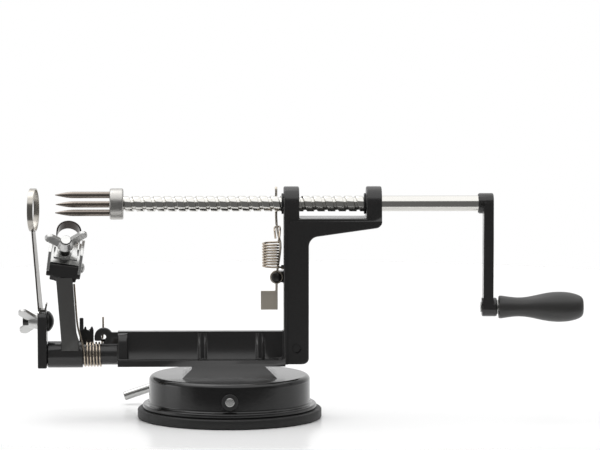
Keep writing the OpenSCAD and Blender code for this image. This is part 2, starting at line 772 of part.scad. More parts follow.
// Peeling blade: a foot plate and an arched strip
leg_v = -4;
foot_v = -9.6;
foot_top_v = 3;
leg_depth = 3.4;
module peel_blade() {
    r = arch_d / 2;
    color(chrome) on_head() difference() {
        union() {
            linear_extrude(arch_depth) difference() {
                union() {
                    translate([0, arch_v]) circle(r);
                    translate([-r, leg_v]) square([2 * r, arch_v - leg_v]);
                }
                translate([0, arch_v]) circle(r - arch_t);
                translate([-r + arch_t, leg_v - 1]) square([2 * (r - arch_t), arch_v - leg_v + 1]);
            }
            translate([-r + arch_t / 2, foot_v, 0])
                cube([2 * r - arch_t, foot_top_v - foot_v, arch_t]);
        }
        translate([-r - 1, leg_v - 1, leg_depth])
            cube([2 * r + 2, arch_v - leg_v, arch_depth]);
        translate([bolt_u, bolt_v, -1]) cylinder(h = arch_t + 2, r = peel_bolt_r);
    }
}

peel_nut_h = 12.6;
nut_lift = 5.4;
peel_seat = arch_t + washer_t + nut_lift;
module peel_bolt() {
    head_h = 2;
    color(steel) on_head() translate([bolt_u, bolt_v, 0]) {
        translate([0, 0, -channel_t - head_h]) cylinder(h = head_h, r = peel_bolt_r + 0.9, $fn = 6);
        translate([0, 0, -channel_t - 0.5]) cylinder(h = channel_t + peel_seat + 6.8, r = peel_bolt_r);
    }
}

module peel_washer() {
    color(chrome) on_head() translate([bolt_u, bolt_v, 0]) difference() {
        translate([0, 0, arch_t]) cylinder(h = washer_t, r = peel_bolt_r + 1.5);
        translate([0, 0, arch_t - 1]) cylinder(h = washer_t + 2, r = peel_bolt_r);
    }
}

peel_nut_turn = 15;
module peel_wing_nut() {
    color(chrome) on_head() translate([bolt_u, bolt_v, peel_seat]) rotate([0, 0, peel_nut_turn])
        wing_nut(peel_nut_h, peel_wing, peel_bolt_r + run_fit);
}

// Torsion spring of the peeling arm: a leg up the arm, the coil and a leg behind the ear
leg_top_z = web_top_z - 4;
leg_gap = peel_wire / 2 + loose_fit;
leg_y = -5;
ear_leg_l = 22;
leg_lean = 1;
function peel_coil(i) =
    let (a = 180 + 360 * i / curl_rings)
    [peel_x0 + peel_step * i / curl_rings, peel_coil_r * cos(a), bar_z + peel_coil_r * sin(a)];
peel_path = concat(
    [
        [web_edge(leg_top_z) + leg_gap, leg_y, leg_top_z],
        [web_edge(bar_z + 20) + leg_gap, leg_y, bar_z + 20],
        [web_edge(bar_z + 15) + leg_gap + leg_lean / 2, leg_y - leg_lean / 2, bar_z + 15],
        [peel_x0 - leg_lean, -peel_coil_r + leg_lean / 2, bar_z + 8],
        [peel_x0 - leg_lean / 5, -peel_coil_r, bar_z + 3.5]
    ],
    [for (i = [0:curl_rings * peel_turns]) peel_coil(i)],
    [
        [peel_end_x, peel_coil_r, bar_z + 0.18 * ear_leg_l],
        [ear_x - leg_lean / 2, peel_coil_r - leg_lean / 2, bar_z + 0.55 * ear_leg_l],
        [ear_x - leg_lean / 2, peel_coil_r - 1.5 * leg_lean, bar_z + ear_leg_l]
    ]
);
module peel_spring() {
    color(spring_steel) wire(peel_path, peel_wire);
}
echo(peel_spring_least_gap = least_gap(peel_path, peel_wire));

// Feed screw: the groove passes the lever's tooth on the far side of the rod
hub_x0 = -fork_x - hub_l;
thread_x0 = -fork_x;
thread_x1 = thread_x0 + thread_l;
crank_x0 = thread_x1 + smooth_l;
thread_sides = 24;
crest_r = rod_r - 0.05;
groove_profile = [
    [-groove_w / 2, crest_r], [-groove_floor_w / 2, rod_r - groove_depth],
    [groove_floor_w / 2, rod_r - groove_depth], [groove_w / 2, crest_r]
];
end_land = 0.35;
first_turn = floor((thread_x0 - plane_x) / pitch) - 2;
last_turn = ceil((thread_x1 - plane_x) / pitch) + 1;
thread_rows = len(groove_profile) * (last_turn - first_turn + 1);
function groove_x(i, j) =
    plane_x + pitch * (j / thread_sides + first_turn + floor(i / 4)) + groove_profile[i % 4].x;
function groove_point(i, j) =
    let (a = 360 * j / thread_sides, r = groove_profile[i % 4].y)
    [groove_x(i, j), r * cos(a), axis_z + r * sin(a)];
function thread_index(i, j) =
    j == thread_sides ? thread_index(i + 4, 0)
    : i >= thread_rows || groove_x(i, j) > thread_x1 - end_land ? thread_sides + j
    : groove_x(i, j) < thread_x0 + end_land ? j
    : (2 + i) * thread_sides + j;
module thread() {
    n = thread_sides;
    ends = [for (x = [thread_x0, thread_x1], j = [0:n - 1])
        [x, crest_r * cos(360 * j / n), axis_z + crest_r * sin(360 * j / n)]];
    grid = [for (i = [0:thread_rows - 1], j = [0:n - 1]) groove_point(i, j)];
    skin = [for (i = [0:thread_rows - 1], j = [0:n - 1], h = [0, 1])
        let (a = thread_index(i, j), b = thread_index(i + 1, j),
             c = thread_index(i + 1, j + 1), d = thread_index(i, j + 1),
             f = h == 0 ? [a, b, c] : [a, c, d])
        if (f[0] != f[1] && f[1] != f[2] && f[2] != f[0]) f];
    caps = [[for (j = [0:n - 1]) j], [for (j = [n - 1:-1:0]) n + j]];
    polyhedron(concat(ends, grid), concat(skin, caps), convexity = 20);
}
journal_r = prong_r - prong_d / 2 - 0.5;
journal_l = hub_l - 1.5;
module feed_screw() {
    color(steel) {
        thread();
        difference() {
            bar_x(thread_x1, crank_x0 + crank_hub_l - 1, rod_r, axis_z);
            bar_y(-rod_d, rod_d, pin_r, crank_pin_x, axis_z);
        }
        bar_x(thread_x0 - journal_l, thread_x0, journal_r, axis_z);
    }
}

// Fork hub with a collar over the end of the thread
hub_edge = 0.6;
collar_step = 1.6;
module fork_hub() {
    r = hub_d / 2;
    color(steel) difference() {
        translate([hub_x0, 0, axis_z]) rotate([0, 90, 0]) rotate_extrude() polygon([
            [0, 0], [r - hub_edge, 0], [r, hub_edge], [r, hub_l - hub_edge], [r - hub_edge, hub_l],
            [0, hub_l]
        ]);
        bar_x(thread_x0 - journal_l, thread_x0 + 1, journal_r, axis_z);
        for (k = [0:2]) prong_place(k) translate([-1, 0, 0]) bar_x(-1, prong_seat, tang_r);
    }
}

prong_seat = 5.5;
tang_r = prong_d / 2 - 0.25;
module prong_place(k) {
    a = 120 * k + fork_turn;
    translate([hub_x0 + 1, prong_r * cos(a), axis_z + prong_r * sin(a)]) children();
}
prong_tip_r = 0.25;
module fork_prongs() {
    r = prong_d / 2;
    point = [for (i = [0:6]) let (t = i / 6)
        [prong_tip_r + (r - prong_tip_r) * sin(90 * t), prong_point_l * t]];
    color(steel) for (k = [0:2]) prong_place(k) translate([-1 - prong_l, 0, 0]) rotate([0, 90, 0])
        rotate_extrude() polygon(concat(
            [[0, 0]], point,
            [[r, prong_l], [tang_r, prong_l], [tang_r, prong_l + prong_seat], [0, prong_l + prong_seat]]
        ));
}

// Bushes in the bearing posts
module bush(x) {
    color(nylon) translate([0, 0, axis_z]) difference() {
        union() {
            bar_x(x - bush_flange_t, x, bush_r + bush_lip);
            bar_x(x - 0.5, x + bearing_w, bush_r);
        }
        bar_x(x - bush_flange_t - 1, x + bearing_w + 1, bush_in_r);
    }
}
module front_bush() {
    bush(upright_x - run_fit);
}
module rear_bush() {
    bush(rear_x0 - run_fit);
}

// Feed lever: an ear under the screw, a strip up behind the rod with a tooth, and a thumb tab
tooth_y = rod_r - groove_depth + loose_fit;
tooth_h = 0.8;
tooth_t = 0.7;
tooth_l = 2;
strip_y = tooth_y + tooth_l;
ear_disc_r = lug_r + 0.6;
strip_low_z = pivot_z + ear_disc_r - 0.6;
tip_rise = 9.6;
tab_top = pivot_z - 8;
hole_z = pivot_z + 27;
hole_r = 1.3;
module lever_strip() {
    y0 = pivot_y - sheet_t / 2;
    bend_z = hole_z + 6;
    difference() {
        union() {
            polygon([
                [y0, strip_low_z], [y0 + strip_w, strip_low_z + 5], [strip_y + strip_w, bend_z - 2],
                [strip_y + strip_w, axis_z + tip_rise - strip_w / 2], [strip_y, axis_z + tip_rise - strip_w / 2],
                [strip_y, bend_z], [y0, strip_low_z + 8]
            ]);
            translate([strip_y + strip_w / 2, axis_z + tip_rise - strip_w / 2]) circle(strip_w / 2);
        }
        translate(hole_place) circle(hole_r);
    }
}
hole_place = [
    (pivot_y + strip_y) / 2 + strip_w / 2 + 3.6, hole_z + 2.5
];

// The strip's swell towards the upright, as offsets along X at heights over the pivot
swell = [[0, 0], [0.9, 6.5], [2.5, 17.5], [2.4, 20.5], [1, 26], [0.2, 31.5], [0, 36]];
function swell_line(side) = [for (q = swell) [plane_x + q.x + side * sheet_t / 2, pivot_z + q.y]];
module swell_outline() {
    top = axis_z + tip_rise + 1;
    left = swell_line(-1);
    right = swell_line(1);
    polygon(concat(
        left, [[plane_x - sheet_t / 2, top], [plane_x + sheet_t / 2, top]],
        [for (i = [len(right) - 1:-1:0]) right[i]]
    ));
}
module feed_lever() {
    x0 = plane_x - sheet_t / 2;
    y0 = pivot_y - sheet_t / 2;
    low_w = 3.4;
    color(chrome) difference() {
        union() {
            bar_y(y0, y0 + sheet_t, ear_disc_r, plane_x, pivot_z);
            intersection() {
                along_x(x0 - lever_off, x0 + 2 * lever_off) lever_strip();
                along_y(-axis_z, axis_z) swell_outline();
            }
            translate([plane_x - tooth_t / 2, tooth_y, axis_z - tooth_h / 2])
                cube([tooth_t, tooth_l + 1, tooth_h]);
            translate([x0, y0 - low_w + sheet_t, tab_top - tab_h])
                cube([sheet_t, low_w, pivot_z - ear_disc_r + 0.4 - tab_top + tab_h]);
            translate([x0 + sheet_t - tab_w, y0 - low_w + sheet_t, tab_top - tab_h])
                cube([tab_w, sheet_t, tab_h]);
        }
        bar_y(y0 - 1, y0 + sheet_t + 1, pivot_d / 2 + loose_fit, plane_x, pivot_z);
    }
}

// Screw the feed lever rocks under
module feed_lever_screw() {
    head_y0 = pivot_y - sheet_t / 2 - rock_fit;
    color(dark_steel) {
        translate([plane_x, head_y0, pivot_z]) rotate([90, 0, 0]) dome(3.1, 1.4, 0.8);
        bar_y(head_y0 - 0.5, lug_y1 - 1, pivot_d / 2, plane_x, pivot_z);
    }
}

// Extension spring of the feed lever: a hook through the strip, the coil and a hook on the peg
coil_x = plane_x - 3.6;
coil_y = pivot_y - sheet_t / 2 - 5.2;
coil_z = pivot_z + 6.8;
first_ring = curl_rings / 8;
function feed_coil(i) =
    let (a = -360 * i / curl_rings)
    [
        coil_x + feed_coil_d / 2 * cos(a), coil_y + feed_coil_d / 2 * sin(a),
        coil_z + feed_step * i / curl_rings
    ];
feed_end_z = coil_z + feed_step * feed_turns;
hook_x = sheet_t / 2 + feed_wire / 2 + loose_fit;
hook_mid = plane_x + 0.5;
eye_reach = hole_place.x - coil_y;
feed_path = concat(
    [
        [upright_x - peg_l / 2, peg_y - peg_r - feed_wire, peg_z - 1.2],
        [upright_x - peg_l / 2 - 0.2, peg_y - peg_r - 1.1 * feed_wire, peg_z + 0.1]
    ],
    [for (i = [first_ring:curl_rings * feed_turns]) feed_coil(i)],
    [
        [hook_mid + 0.3, coil_y - 1.8, feed_end_z + 0.8], [hook_mid + 1, coil_y - 1.5, feed_end_z + 2.4],
        [hook_mid + hook_x, coil_y + 0.2 * eye_reach, hole_place.y + 0.4],
        [hook_mid + hook_x, hole_place.x - 1, hole_place.y + 0.6],
        [hook_mid + 0.7 * hook_x, hole_place.x, hole_place.y],
        [hook_mid - 0.7 * hook_x, hole_place.x, hole_place.y],
        [hook_mid - hook_x, hole_place.x - 1, hole_place.y - 0.2],
        [hook_mid - hook_x, coil_y + 0.55 * eye_reach, hole_place.y - 1],
        [hook_mid - hook_x + 0.6, coil_y + 0.3 * eye_reach, feed_end_z + 1.8]
    ]
);
module feed_lever_spring() {
    color(spring_steel) wire(feed_path, feed_wire);
}
echo(feed_spring_least_gap = least_gap(feed_path, feed_wire));

// Crank: hub on the rod, flat arm and a boss for the grip's axle
grip_z = axis_z - crank_r;
crank_x1 = crank_x0 + crank_hub_l;
pin_r = 1.25;
module crank_arm() {
    hub_r = crank_hub_d / 2;
    boss_r = crank_boss_d / 2;
    boss_x0 = crank_x1 - crank_t - 0.8;
    color(enamel) difference() {
        union() {
            bar_x(crank_x0, crank_x1, hub_r, axis_z);
            bar_x(boss_x0, boss_x0 + crank_boss_l, boss_r, grip_z);
            along_x(crank_x1 - crank_t, crank_x1) polygon([
                [-boss_r, grip_z], [boss_r, grip_z], [hub_r, axis_z], [-hub_r, axis_z]
            ]);
        }
        bar_x(crank_x0 - 1, crank_x1 - 1, rod_r, axis_z);
        bar_x(boss_x0 - 1, boss_x0 + crank_boss_l + 1, axle_d / 2, grip_z);
        bar_y(-hub_r - 1, hub_r + 1, pin_r, crank_pin_x, axis_z);
    }
}
crank_pin_x = crank_x0 + 2.6;
module crank_pin() {
    l = sqrt(pow(crank_hub_d / 2, 2) - pow(pin_r, 2));
    color(dark_steel) bar_y(-l, l, pin_r, crank_pin_x, axis_z);
}

// Grip and its axle
boss_x1 = crank_x1 - crank_t - 0.8 + crank_boss_l;
grip_washer_t = 0.8;
grip_x = boss_x1 + grip_washer_t + 0.25;
grip_bore_r = axle_d / 2 + slide_fit;
axle_head_r = axle_d / 2 + 0.9;
axle_head_l = 1.8;
head_sink = 2.4;
module grip_axle() {
    rivet_l = 0.8;
    x0 = crank_x1 - crank_t - 0.8;
    color(steel) {
        bar_x(x0 - rivet_l, x0, axle_d / 2 + 0.6, grip_z);
        bar_x(x0 - 0.5, grip_x + grip_l - head_sink + 0.5, axle_d / 2, grip_z);
        bar_x(grip_x + grip_l - head_sink + 0.2, grip_x + grip_l - head_sink + 0.2 + axle_head_l,
              axle_head_r, grip_z);
    }
}
module grip_washer() {
    color(steel) difference() {
        bar_x(boss_x1, boss_x1 + grip_washer_t, axle_d / 2 + 1.7, grip_z);
        bar_x(boss_x1 - 1, boss_x1 + grip_washer_t + 1, axle_d / 2, grip_z);
    }
}
module grip() {
    collar_s = 2;
    neck_s = 12.4;
    swell_s = grip_l - 15;
    end_s = grip_l - 1.9;
    steps = 8;
    neck = [for (i = [0:steps]) let (t = i / steps)
        [ease(grip_collar_d, grip_neck_d, t) / 2, collar_s + (neck_s - collar_s) * t]];
    swell = [for (i = [1:steps + 2]) let (t = i / (steps + 2))
        [ease(grip_neck_d, grip_d, t) / 2, neck_s + (swell_s - neck_s) * t]];
    fall = [for (i = [1:steps]) let (t = i / steps)
        [(grip_d - (grip_d - grip_end_d) * (1 - cos(90 * t))) / 2, swell_s + (end_s - swell_s) * t]];
    end_r = axle_head_r + 1.1;
    color(nylon) translate([grip_x, 0, grip_z]) rotate([0, 90, 0]) rotate_extrude() polygon(concat(
        [[grip_bore_r, 0], [grip_collar_d / 2 - 0.6, 0], [grip_collar_d / 2, 0.6]],
        neck, swell, fall,
        [[end_r, grip_l], [axle_head_r + slide_fit, grip_l],
         [axle_head_r + slide_fit, grip_l - head_sink], [grip_bore_r, grip_l - head_sink]]
    ));
}

// Suction cap: a turned shell with room for the plunger's yoke
yoke_w = 16;
yoke_t = 7;
guide_r = sqrt(pow(yoke_w, 2) + pow(yoke_t, 2)) / 2 + rock_fit;
lever_r = lever_d / 2;
bush_wall_low = 1.2;
lever_bush_r = lever_r + run_fit + bush_wall_low;
module suction_cap() {
    r = cap_d / 2;
    rf = cap_flange_d / 2;
    z1 = pad_t + cap_flange_t;
    color(enamel) difference() {
        rotate_extrude() polygon(concat(
            [[r - cap_wall, pad_t], [rf - 0.6, pad_t], [rf, pad_t + 0.6]],
            arc(rf - 1, z1 - 1, 1, 0, 90, 4),
            arc(r + 1.5, z1 + 1.5, 1.5, 270, 180, 4),
            arc(r - cap_edge_r, cap_top - cap_edge_r, cap_edge_r, 0, 90),
            [[guide_r, cap_top], [guide_r, cap_top - ceiling_t], [r - cap_wall, cap_top - ceiling_t]]
        ));
        bar_y(-r - 1, r + 1, lever_bush_r, 0, shaft_z);
        for (x = boss_x)
            translate([x, 0, cap_top - ceiling_t - 1]) cylinder(h = ceiling_t + 2, d = base_screw_d);
    }
}

// Bushes of the lever's shaft in the cap's wall
bush_rim_t = 1.2;
module lever_bushes() {
    r = cap_d / 2;
    color(nylon) difference() {
        for (s = [0, 180]) rotate([0, 0, s]) {
            bar_y(-r - bush_rim_t, -r, lever_bush_r + 0.9, 0, shaft_z);
            bar_y(-r - 0.5, -r + cap_wall + 1, lever_bush_r, 0, shaft_z);
        }
        bar_y(-r - 5, r + 5, lever_r + run_fit, 0, shaft_z);
    }
}

// Suction lever: cross shaft, elbow, arm and dipped end
lever_y = cap_flange_d / 2 + lever_gap + lever_r;
elbow_r = 5;
knee_r = 8;
bend_swell = 0.06;
bend_lap = 0.5;
module suction_lever() {
    r = cap_d / 2;
    end_l = (lever_reach - lever_knee_l * cos(lever_slope)) / cos(lever_slope + lever_knee);
    color(chrome) translate([0, 0, shaft_z]) rotate([0, -lever_slope, 0]) {
        bar_y(-r - bush_rim_t - 0.7, lever_y - elbow_r + bend_lap, lever_r, 0, 0);
        translate([-elbow_r, lever_y - elbow_r, 0]) rotate_extrude(angle = 90)
            translate([elbow_r, 0]) circle(lever_r + bend_swell);
        translate([0, lever_y, 0]) bar_x(-lever_knee_l - bend_lap, -elbow_r + bend_lap, lever_r);
        translate([-lever_knee_l, lever_y, -knee_r]) {
            rotate([90, 0, 0]) rotate([0, 0, 90]) rotate_extrude(angle = lever_knee)
                translate([knee_r, 0]) circle(lever_r + bend_swell);
            rotate([0, -lever_knee, 0]) translate([0, 0, knee_r]) bar_x(-end_l, bend_lap, lever_r);
        }
    }
}

// Eccentric on the lever's shaft
cam_phase = cam_turn / 2;
cam_r = lever_r + cam_ecc + 0.5;
cam_l = yoke_t + 1;
cam_lift = 2 * cam_ecc * sin(cam_phase);
cam_z = shaft_z - cam_ecc * sin(cam_phase);
module lever_cam() {
    color(steel) difference() {
        bar_y(-cam_l / 2, cam_l / 2, cam_r, -cam_ecc * cos(cam_phase), cam_z);
        bar_y(-cam_l, cam_l, lever_r, 0, shaft_z);
    }
}

// Plunger: a plate in the pad and a yoke round the cam
plate_r = 20;
plate_t = 2;
plate_z = pad_t - plate_t - 0.4;
cam_fit = 0.35;
window_w = 2 * (cam_r + cam_ecc + cam_fit);
window_h = 2 * (cam_r + cam_fit);
yoke_bar = 1.2;
module plunger() {
    color(steel) {
        translate([0, 0, plate_z]) cylinder(h = plate_t, r = plate_r);
        difference() {
            translate([-yoke_w / 2, -yoke_t / 2, plate_z + 0.5])
                cube([yoke_w, yoke_t, cam_z + window_h / 2 + yoke_bar - plate_z - 0.5]);
            translate([-window_w / 2, -yoke_t, cam_z - window_h / 2])
                cube([window_w, 2 * yoke_t, window_h]);
        }
    }
}
echo(plunger_lift = cam_lift);

// Rubber pad, moulded round the plunger's plate
pad_fit = 0.2;
lip_r = guide_r + 4;
module suction_pad() {
    r = pad_d / 2;
    color(rubber) rotate_extrude() polygon([
        [0, 0], [r - 0.8, 0], [r, 0.8], [r, pad_t - 0.8], [r - 0.8, pad_t], [lip_r, pad_t],
        [lip_r, plate_z + plate_t + pad_fit], [plate_r + pad_fit, plate_z + plate_t + pad_fit],
        [plate_r + pad_fit, plate_z - pad_fit], [0, plate_z - pad_fit]
    ]);
}

// Screws and washers that hold the casting on the cap
base_head_l = 2.6;
base_head_d = 7.4;
base_washer_d = 9;
module base_screws() {
    z1 = cap_top - ceiling_t - washer_t;
    color(steel) for (x = boss_x) translate([x, 0, 0]) {
        translate([0, 0, z1 - base_head_l]) cylinder(h = base_head_l, d = base_head_d);
        translate([0, 0, z1 - 0.5]) cylinder(h = beam_z + screw_deep - z1 - 0.5, d = base_screw_d);
    }
}
module base_washers() {
    color(steel) for (x = boss_x) translate([x, 0, cap_top - ceiling_t - washer_t]) difference() {
        cylinder(h = washer_t, d = base_washer_d);
        translate([0, 0, -1]) cylinder(h = washer_t + 2, d = base_screw_d);
    }
}

frame_casting();
front_post();
post_screw();
slicing_blade();
slicer_bolt();
slicer_washer();
slicer_wing_nut();
peel_arm();
peel_spring();
blade_holder();
holder_screw();
peel_blade();
peel_bolt();
peel_washer();
peel_wing_nut();
feed_screw();
fork_hub();
fork_prongs();
front_bush();
rear_bush();
feed_lever();
feed_lever_screw();
feed_lever_spring();
crank_arm();
crank_pin();
grip_axle();
grip_washer();
grip();
suction_cap();
suction_pad();
plunger();
suction_lever();
lever_cam();
lever_bushes();
base_screws();
base_washers();
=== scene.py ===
# %% [markdown]
# # A table-top apple peeler
# The machine turns an apple on a three-pronged fork past a sprung peeling blade, while a
# screw feeds it against a slicing blade with a coring ring. The imported model gives every
# solid its place and its motion. This lesson gives each piece its edges, wire, finish and light.
# Loading comes first, because every piece stands for one of its solids.

# %% Load the imported model
import json
import math

import bmesh
import bpy
from mathutils import Matrix, Vector
from mathutils.bvhtree import BVHTree

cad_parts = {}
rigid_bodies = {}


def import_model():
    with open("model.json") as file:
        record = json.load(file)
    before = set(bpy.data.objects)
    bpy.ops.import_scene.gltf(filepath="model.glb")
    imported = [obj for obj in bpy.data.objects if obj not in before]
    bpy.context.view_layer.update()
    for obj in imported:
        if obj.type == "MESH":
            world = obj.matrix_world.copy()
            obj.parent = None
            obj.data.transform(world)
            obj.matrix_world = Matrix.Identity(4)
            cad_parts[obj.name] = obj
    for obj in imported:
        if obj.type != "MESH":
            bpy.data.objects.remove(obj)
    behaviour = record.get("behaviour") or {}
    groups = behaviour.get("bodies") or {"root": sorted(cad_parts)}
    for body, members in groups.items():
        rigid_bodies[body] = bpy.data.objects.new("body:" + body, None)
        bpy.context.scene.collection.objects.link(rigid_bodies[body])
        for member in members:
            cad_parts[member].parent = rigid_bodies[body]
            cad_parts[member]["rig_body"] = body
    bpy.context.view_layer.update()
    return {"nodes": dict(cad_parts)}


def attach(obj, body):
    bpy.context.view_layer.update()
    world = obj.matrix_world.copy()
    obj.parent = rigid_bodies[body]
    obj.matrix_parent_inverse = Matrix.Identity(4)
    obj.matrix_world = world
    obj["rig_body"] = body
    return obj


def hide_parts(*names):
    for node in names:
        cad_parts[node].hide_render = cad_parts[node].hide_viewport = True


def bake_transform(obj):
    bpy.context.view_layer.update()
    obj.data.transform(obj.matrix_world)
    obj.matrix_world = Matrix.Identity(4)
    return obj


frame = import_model()
nodes = frame["nodes"]
MM = 0.001
SCENE = bpy.context.scene.collection

# %% [markdown]
# ## Camera
# The picture was taken from far away with a long lens, a little from the left and from above.
# A long lens keeps the spindle straight and the crank square, so the lens and distance were
# worked out from the outlines of the base and the spindle. The frame's shift puts the machine
# low in the picture, as it is there, without tilting its uprights.

# %% Camera
CAMERA_DISTANCE = 2.2541
camera_data = bpy.data.cameras.new("portrait_lens")
camera_data.lens = 223.67
camera_data.sensor_width = 36.0
camera_data.sensor_fit = "HORIZONTAL"
camera_data.shift_x = 0.0002
camera_data.shift_y = 0.1284
camera_data.clip_end = 60.0
camera = bpy.data.objects.new("portrait_camera", camera_data)
SCENE.objects.link(camera)
looked_at = Vector((42.6, 0, 70)) * MM
yaw = math.radians(1.30)
pitch = math.radians(6.534)
level = math.cos(pitch)
towards = Vector((-math.sin(yaw) * level, -math.cos(yaw) * level, math.sin(pitch)))
camera.location = looked_at + towards * CAMERA_DISTANCE
camera.rotation_euler = (-towards).to_track_quat("-Z", "Y").to_euler()
bpy.context.scene.camera = camera
print("camera", round(camera_data.lens), "mm at", [round(v, 3) for v in camera.location])

# %% [markdown]
# ## Room and floor
# Bright metal only looks like metal when there is something to mirror. A studio hangs a white
# ceiling over the table, has a white wall behind and a bright window on the left, and leaves the
# side of the camera dark. That dark side draws the dark stripe along the middle of every rod.
# The room is painted into the world by direction, so it looks the same from every side, and
# the camera itself sees plain white. The floor is a pale sheet with a faint gloss.

# %% Room
room = bpy.data.worlds.new("white_room")
room.use_nodes = True
bpy.context.scene.world = room
bpy.context.scene.view_settings.view_transform = "Standard"
tree = room.node_tree
tree.nodes.clear()


def room_node(kind, **values):
    """A node of the room's tree with some of its settings changed."""
    node = tree.nodes.new(kind)
    for name, value in values.items():
        setattr(node, name, value)
    return node


def ramp(source, low, high, from_value, to_value):
    """A smooth rise from one brightness to another as source goes from low to high."""
    node = room_node("ShaderNodeMapRange", interpolation_type="SMOOTHSTEP")
    for socket, value in zip(node.inputs[1:5], (low, high, from_value, to_value)):
        socket.default_value = value
    tree.links.new(source, node.inputs["Value"])
    return node.outputs["Result"]


def brighter_of(first_value, second_value):
    """The larger of two brightnesses, so that lit areas overlap without adding up."""
    node = room_node("ShaderNodeMath", operation="MAXIMUM")
    tree.links.new(first_value, node.inputs[0])
    tree.links.new(second_value, node.inputs[1])
    return node.outputs[0]


direction = room_node("ShaderNodeTexCoord")
split = room_node("ShaderNodeSeparateXYZ")
tree.links.new(direction.outputs["Generated"], split.inputs[0])
backwards = room_node("ShaderNodeVectorMath", operation="DOT_PRODUCT")
backwards.inputs[1].default_value = (-0.12, 0.993, 0.0)
tree.links.new(direction.outputs["Generated"], backwards.inputs[0])
to_back = backwards.outputs["Value"]
side_walls = ramp(to_back, low=-0.55, high=-0.32, from_value=0.17, to_value=0.55)
back_wall = ramp(to_back, low=0.2, high=0.9, from_value=0.0, to_value=1.0)
ceiling = ramp(split.outputs["Z"], low=0.52, high=0.72, from_value=0.0, to_value=1.5)
left_window = ramp(split.outputs["X"], low=-0.94, high=-0.98, from_value=0.0, to_value=1.9)
walls = brighter_of(brighter_of(side_walls, back_wall), left_window)
brightest = brighter_of(walls, ceiling)
lit_room = room_node("ShaderNodeBackground")
tree.links.new(brightest, lit_room.inputs["Strength"])
white_paper = room_node("ShaderNodeBackground")
seen_by = room_node("ShaderNodeLightPath")
either = room_node("ShaderNodeMixShader")
tree.links.new(seen_by.outputs["Is Camera Ray"], either.inputs[0])
tree.links.new(lit_room.outputs[0], either.inputs[1])
tree.links.new(white_paper.outputs[0], either.inputs[2])
room_out = room_node("ShaderNodeOutputWorld")
tree.links.new(either.outputs[0], room_out.inputs["Surface"])
for painted in (lit_room, white_paper):
    painted.inputs["Color"].default_value = (1.0, 1.0, 1.0, 1.0)
print("room nodes:", len(tree.nodes))

# %% Floor and soft box
FLOOR_MIDDLE = Vector((0.04, 0.39, 0.0))
FLOOR_R = 0.56
FADE_STARTS = 0.510
FADE_ENDS = 0.535
floor_bm = bmesh.new()
bmesh.ops.create_circle(floor_bm, cap_ends=True, segments=96, radius=FLOOR_R)
bmesh.ops.translate(floor_bm, vec=FLOOR_MIDDLE, verts=floor_bm.verts)
floor_mesh = bpy.data.meshes.new("floor_sheet")
floor_bm.to_mesh(floor_mesh)
floor_bm.free()
floor = bpy.data.objects.new("floor_sheet", floor_mesh)
SCENE.objects.link(floor)
pale = bpy.data.materials.new("pale_floor")
pale.use_nodes = True
pale_graph = pale.node_tree
pale_shader = pale_graph.nodes["Principled BSDF"]
pale_shader.inputs["Base Color"].default_value = (0.90, 0.90, 0.90, 1.0)
pale_shader.inputs["Roughness"].default_value = 0.22
pale_shader.inputs["Specular IOR Level"].default_value = 0.06
spot = pale_graph.nodes.new("ShaderNodeTexCoord")
from_middle = pale_graph.nodes.new("ShaderNodeVectorMath")
from_middle.operation = "DISTANCE"
from_middle.inputs[1].default_value = FLOOR_MIDDLE
pale_graph.links.new(spot.outputs["Object"], from_middle.inputs[0])
fade = pale_graph.nodes.new("ShaderNodeMapRange")
fade.interpolation_type = "SMOOTHSTEP"
for socket, value in zip(fade.inputs[1:5], (FADE_STARTS, FADE_ENDS, 0.0, 1.0)):
    socket.default_value = value
pale_graph.links.new(from_middle.outputs["Value"], fade.inputs["Value"])
nothing = pale_graph.nodes.new("ShaderNodeBsdfTransparent")
edge_mix = pale_graph.nodes.new("ShaderNodeMixShader")
pale_graph.links.new(fade.outputs["Result"], edge_mix.inputs[0])
pale_graph.links.new(pale_shader.outputs[0], edge_mix.inputs[1])
pale_graph.links.new(nothing.outputs[0], edge_mix.inputs[2])
pale_graph.links.new(edge_mix.outputs[0], pale_graph.nodes["Material Output"].inputs["Surface"])
floor_mesh.materials.append(pale)


def soft_box(name, stand, aim, width, height, power):
    """A rectangular lamp that stands at one place in metres and shines at another."""
    lamp = bpy.data.lights.new(name, "AREA")
    lamp.shape = "RECTANGLE"
    lamp.size = width
    lamp.size_y = height
    lamp.energy = power
    box = bpy.data.objects.new(name, lamp)
    SCENE.objects.link(box)
    box.location = stand
    box.rotation_euler = (Vector(aim) - Vector(stand)).to_track_quat("-Z", "Y").to_euler()


soft_box("ceiling_box", (-0.5, 0.3, 1.5), looked_at, width=1.2, height=0.8, power=5)

# %% [markdown]
# ## Finishes
# The machine has few materials, and each one is told apart by how it holds light: enamel with
# a faint orange peel, pressed steel with a deep gloss, dull rubber, rolled and plated steel,
# warm spring wire and satin plastic. One function builds them all from noise on the object's own
# coordinates. Drawn and rolled metal gets the same noise stretched along its length.

# %% Finish maker
BROAD_RATIO = 14
BUMP_DEPTH = 0.12
NOISE_LOW = 0.3
NOISE_HIGH = 0.7


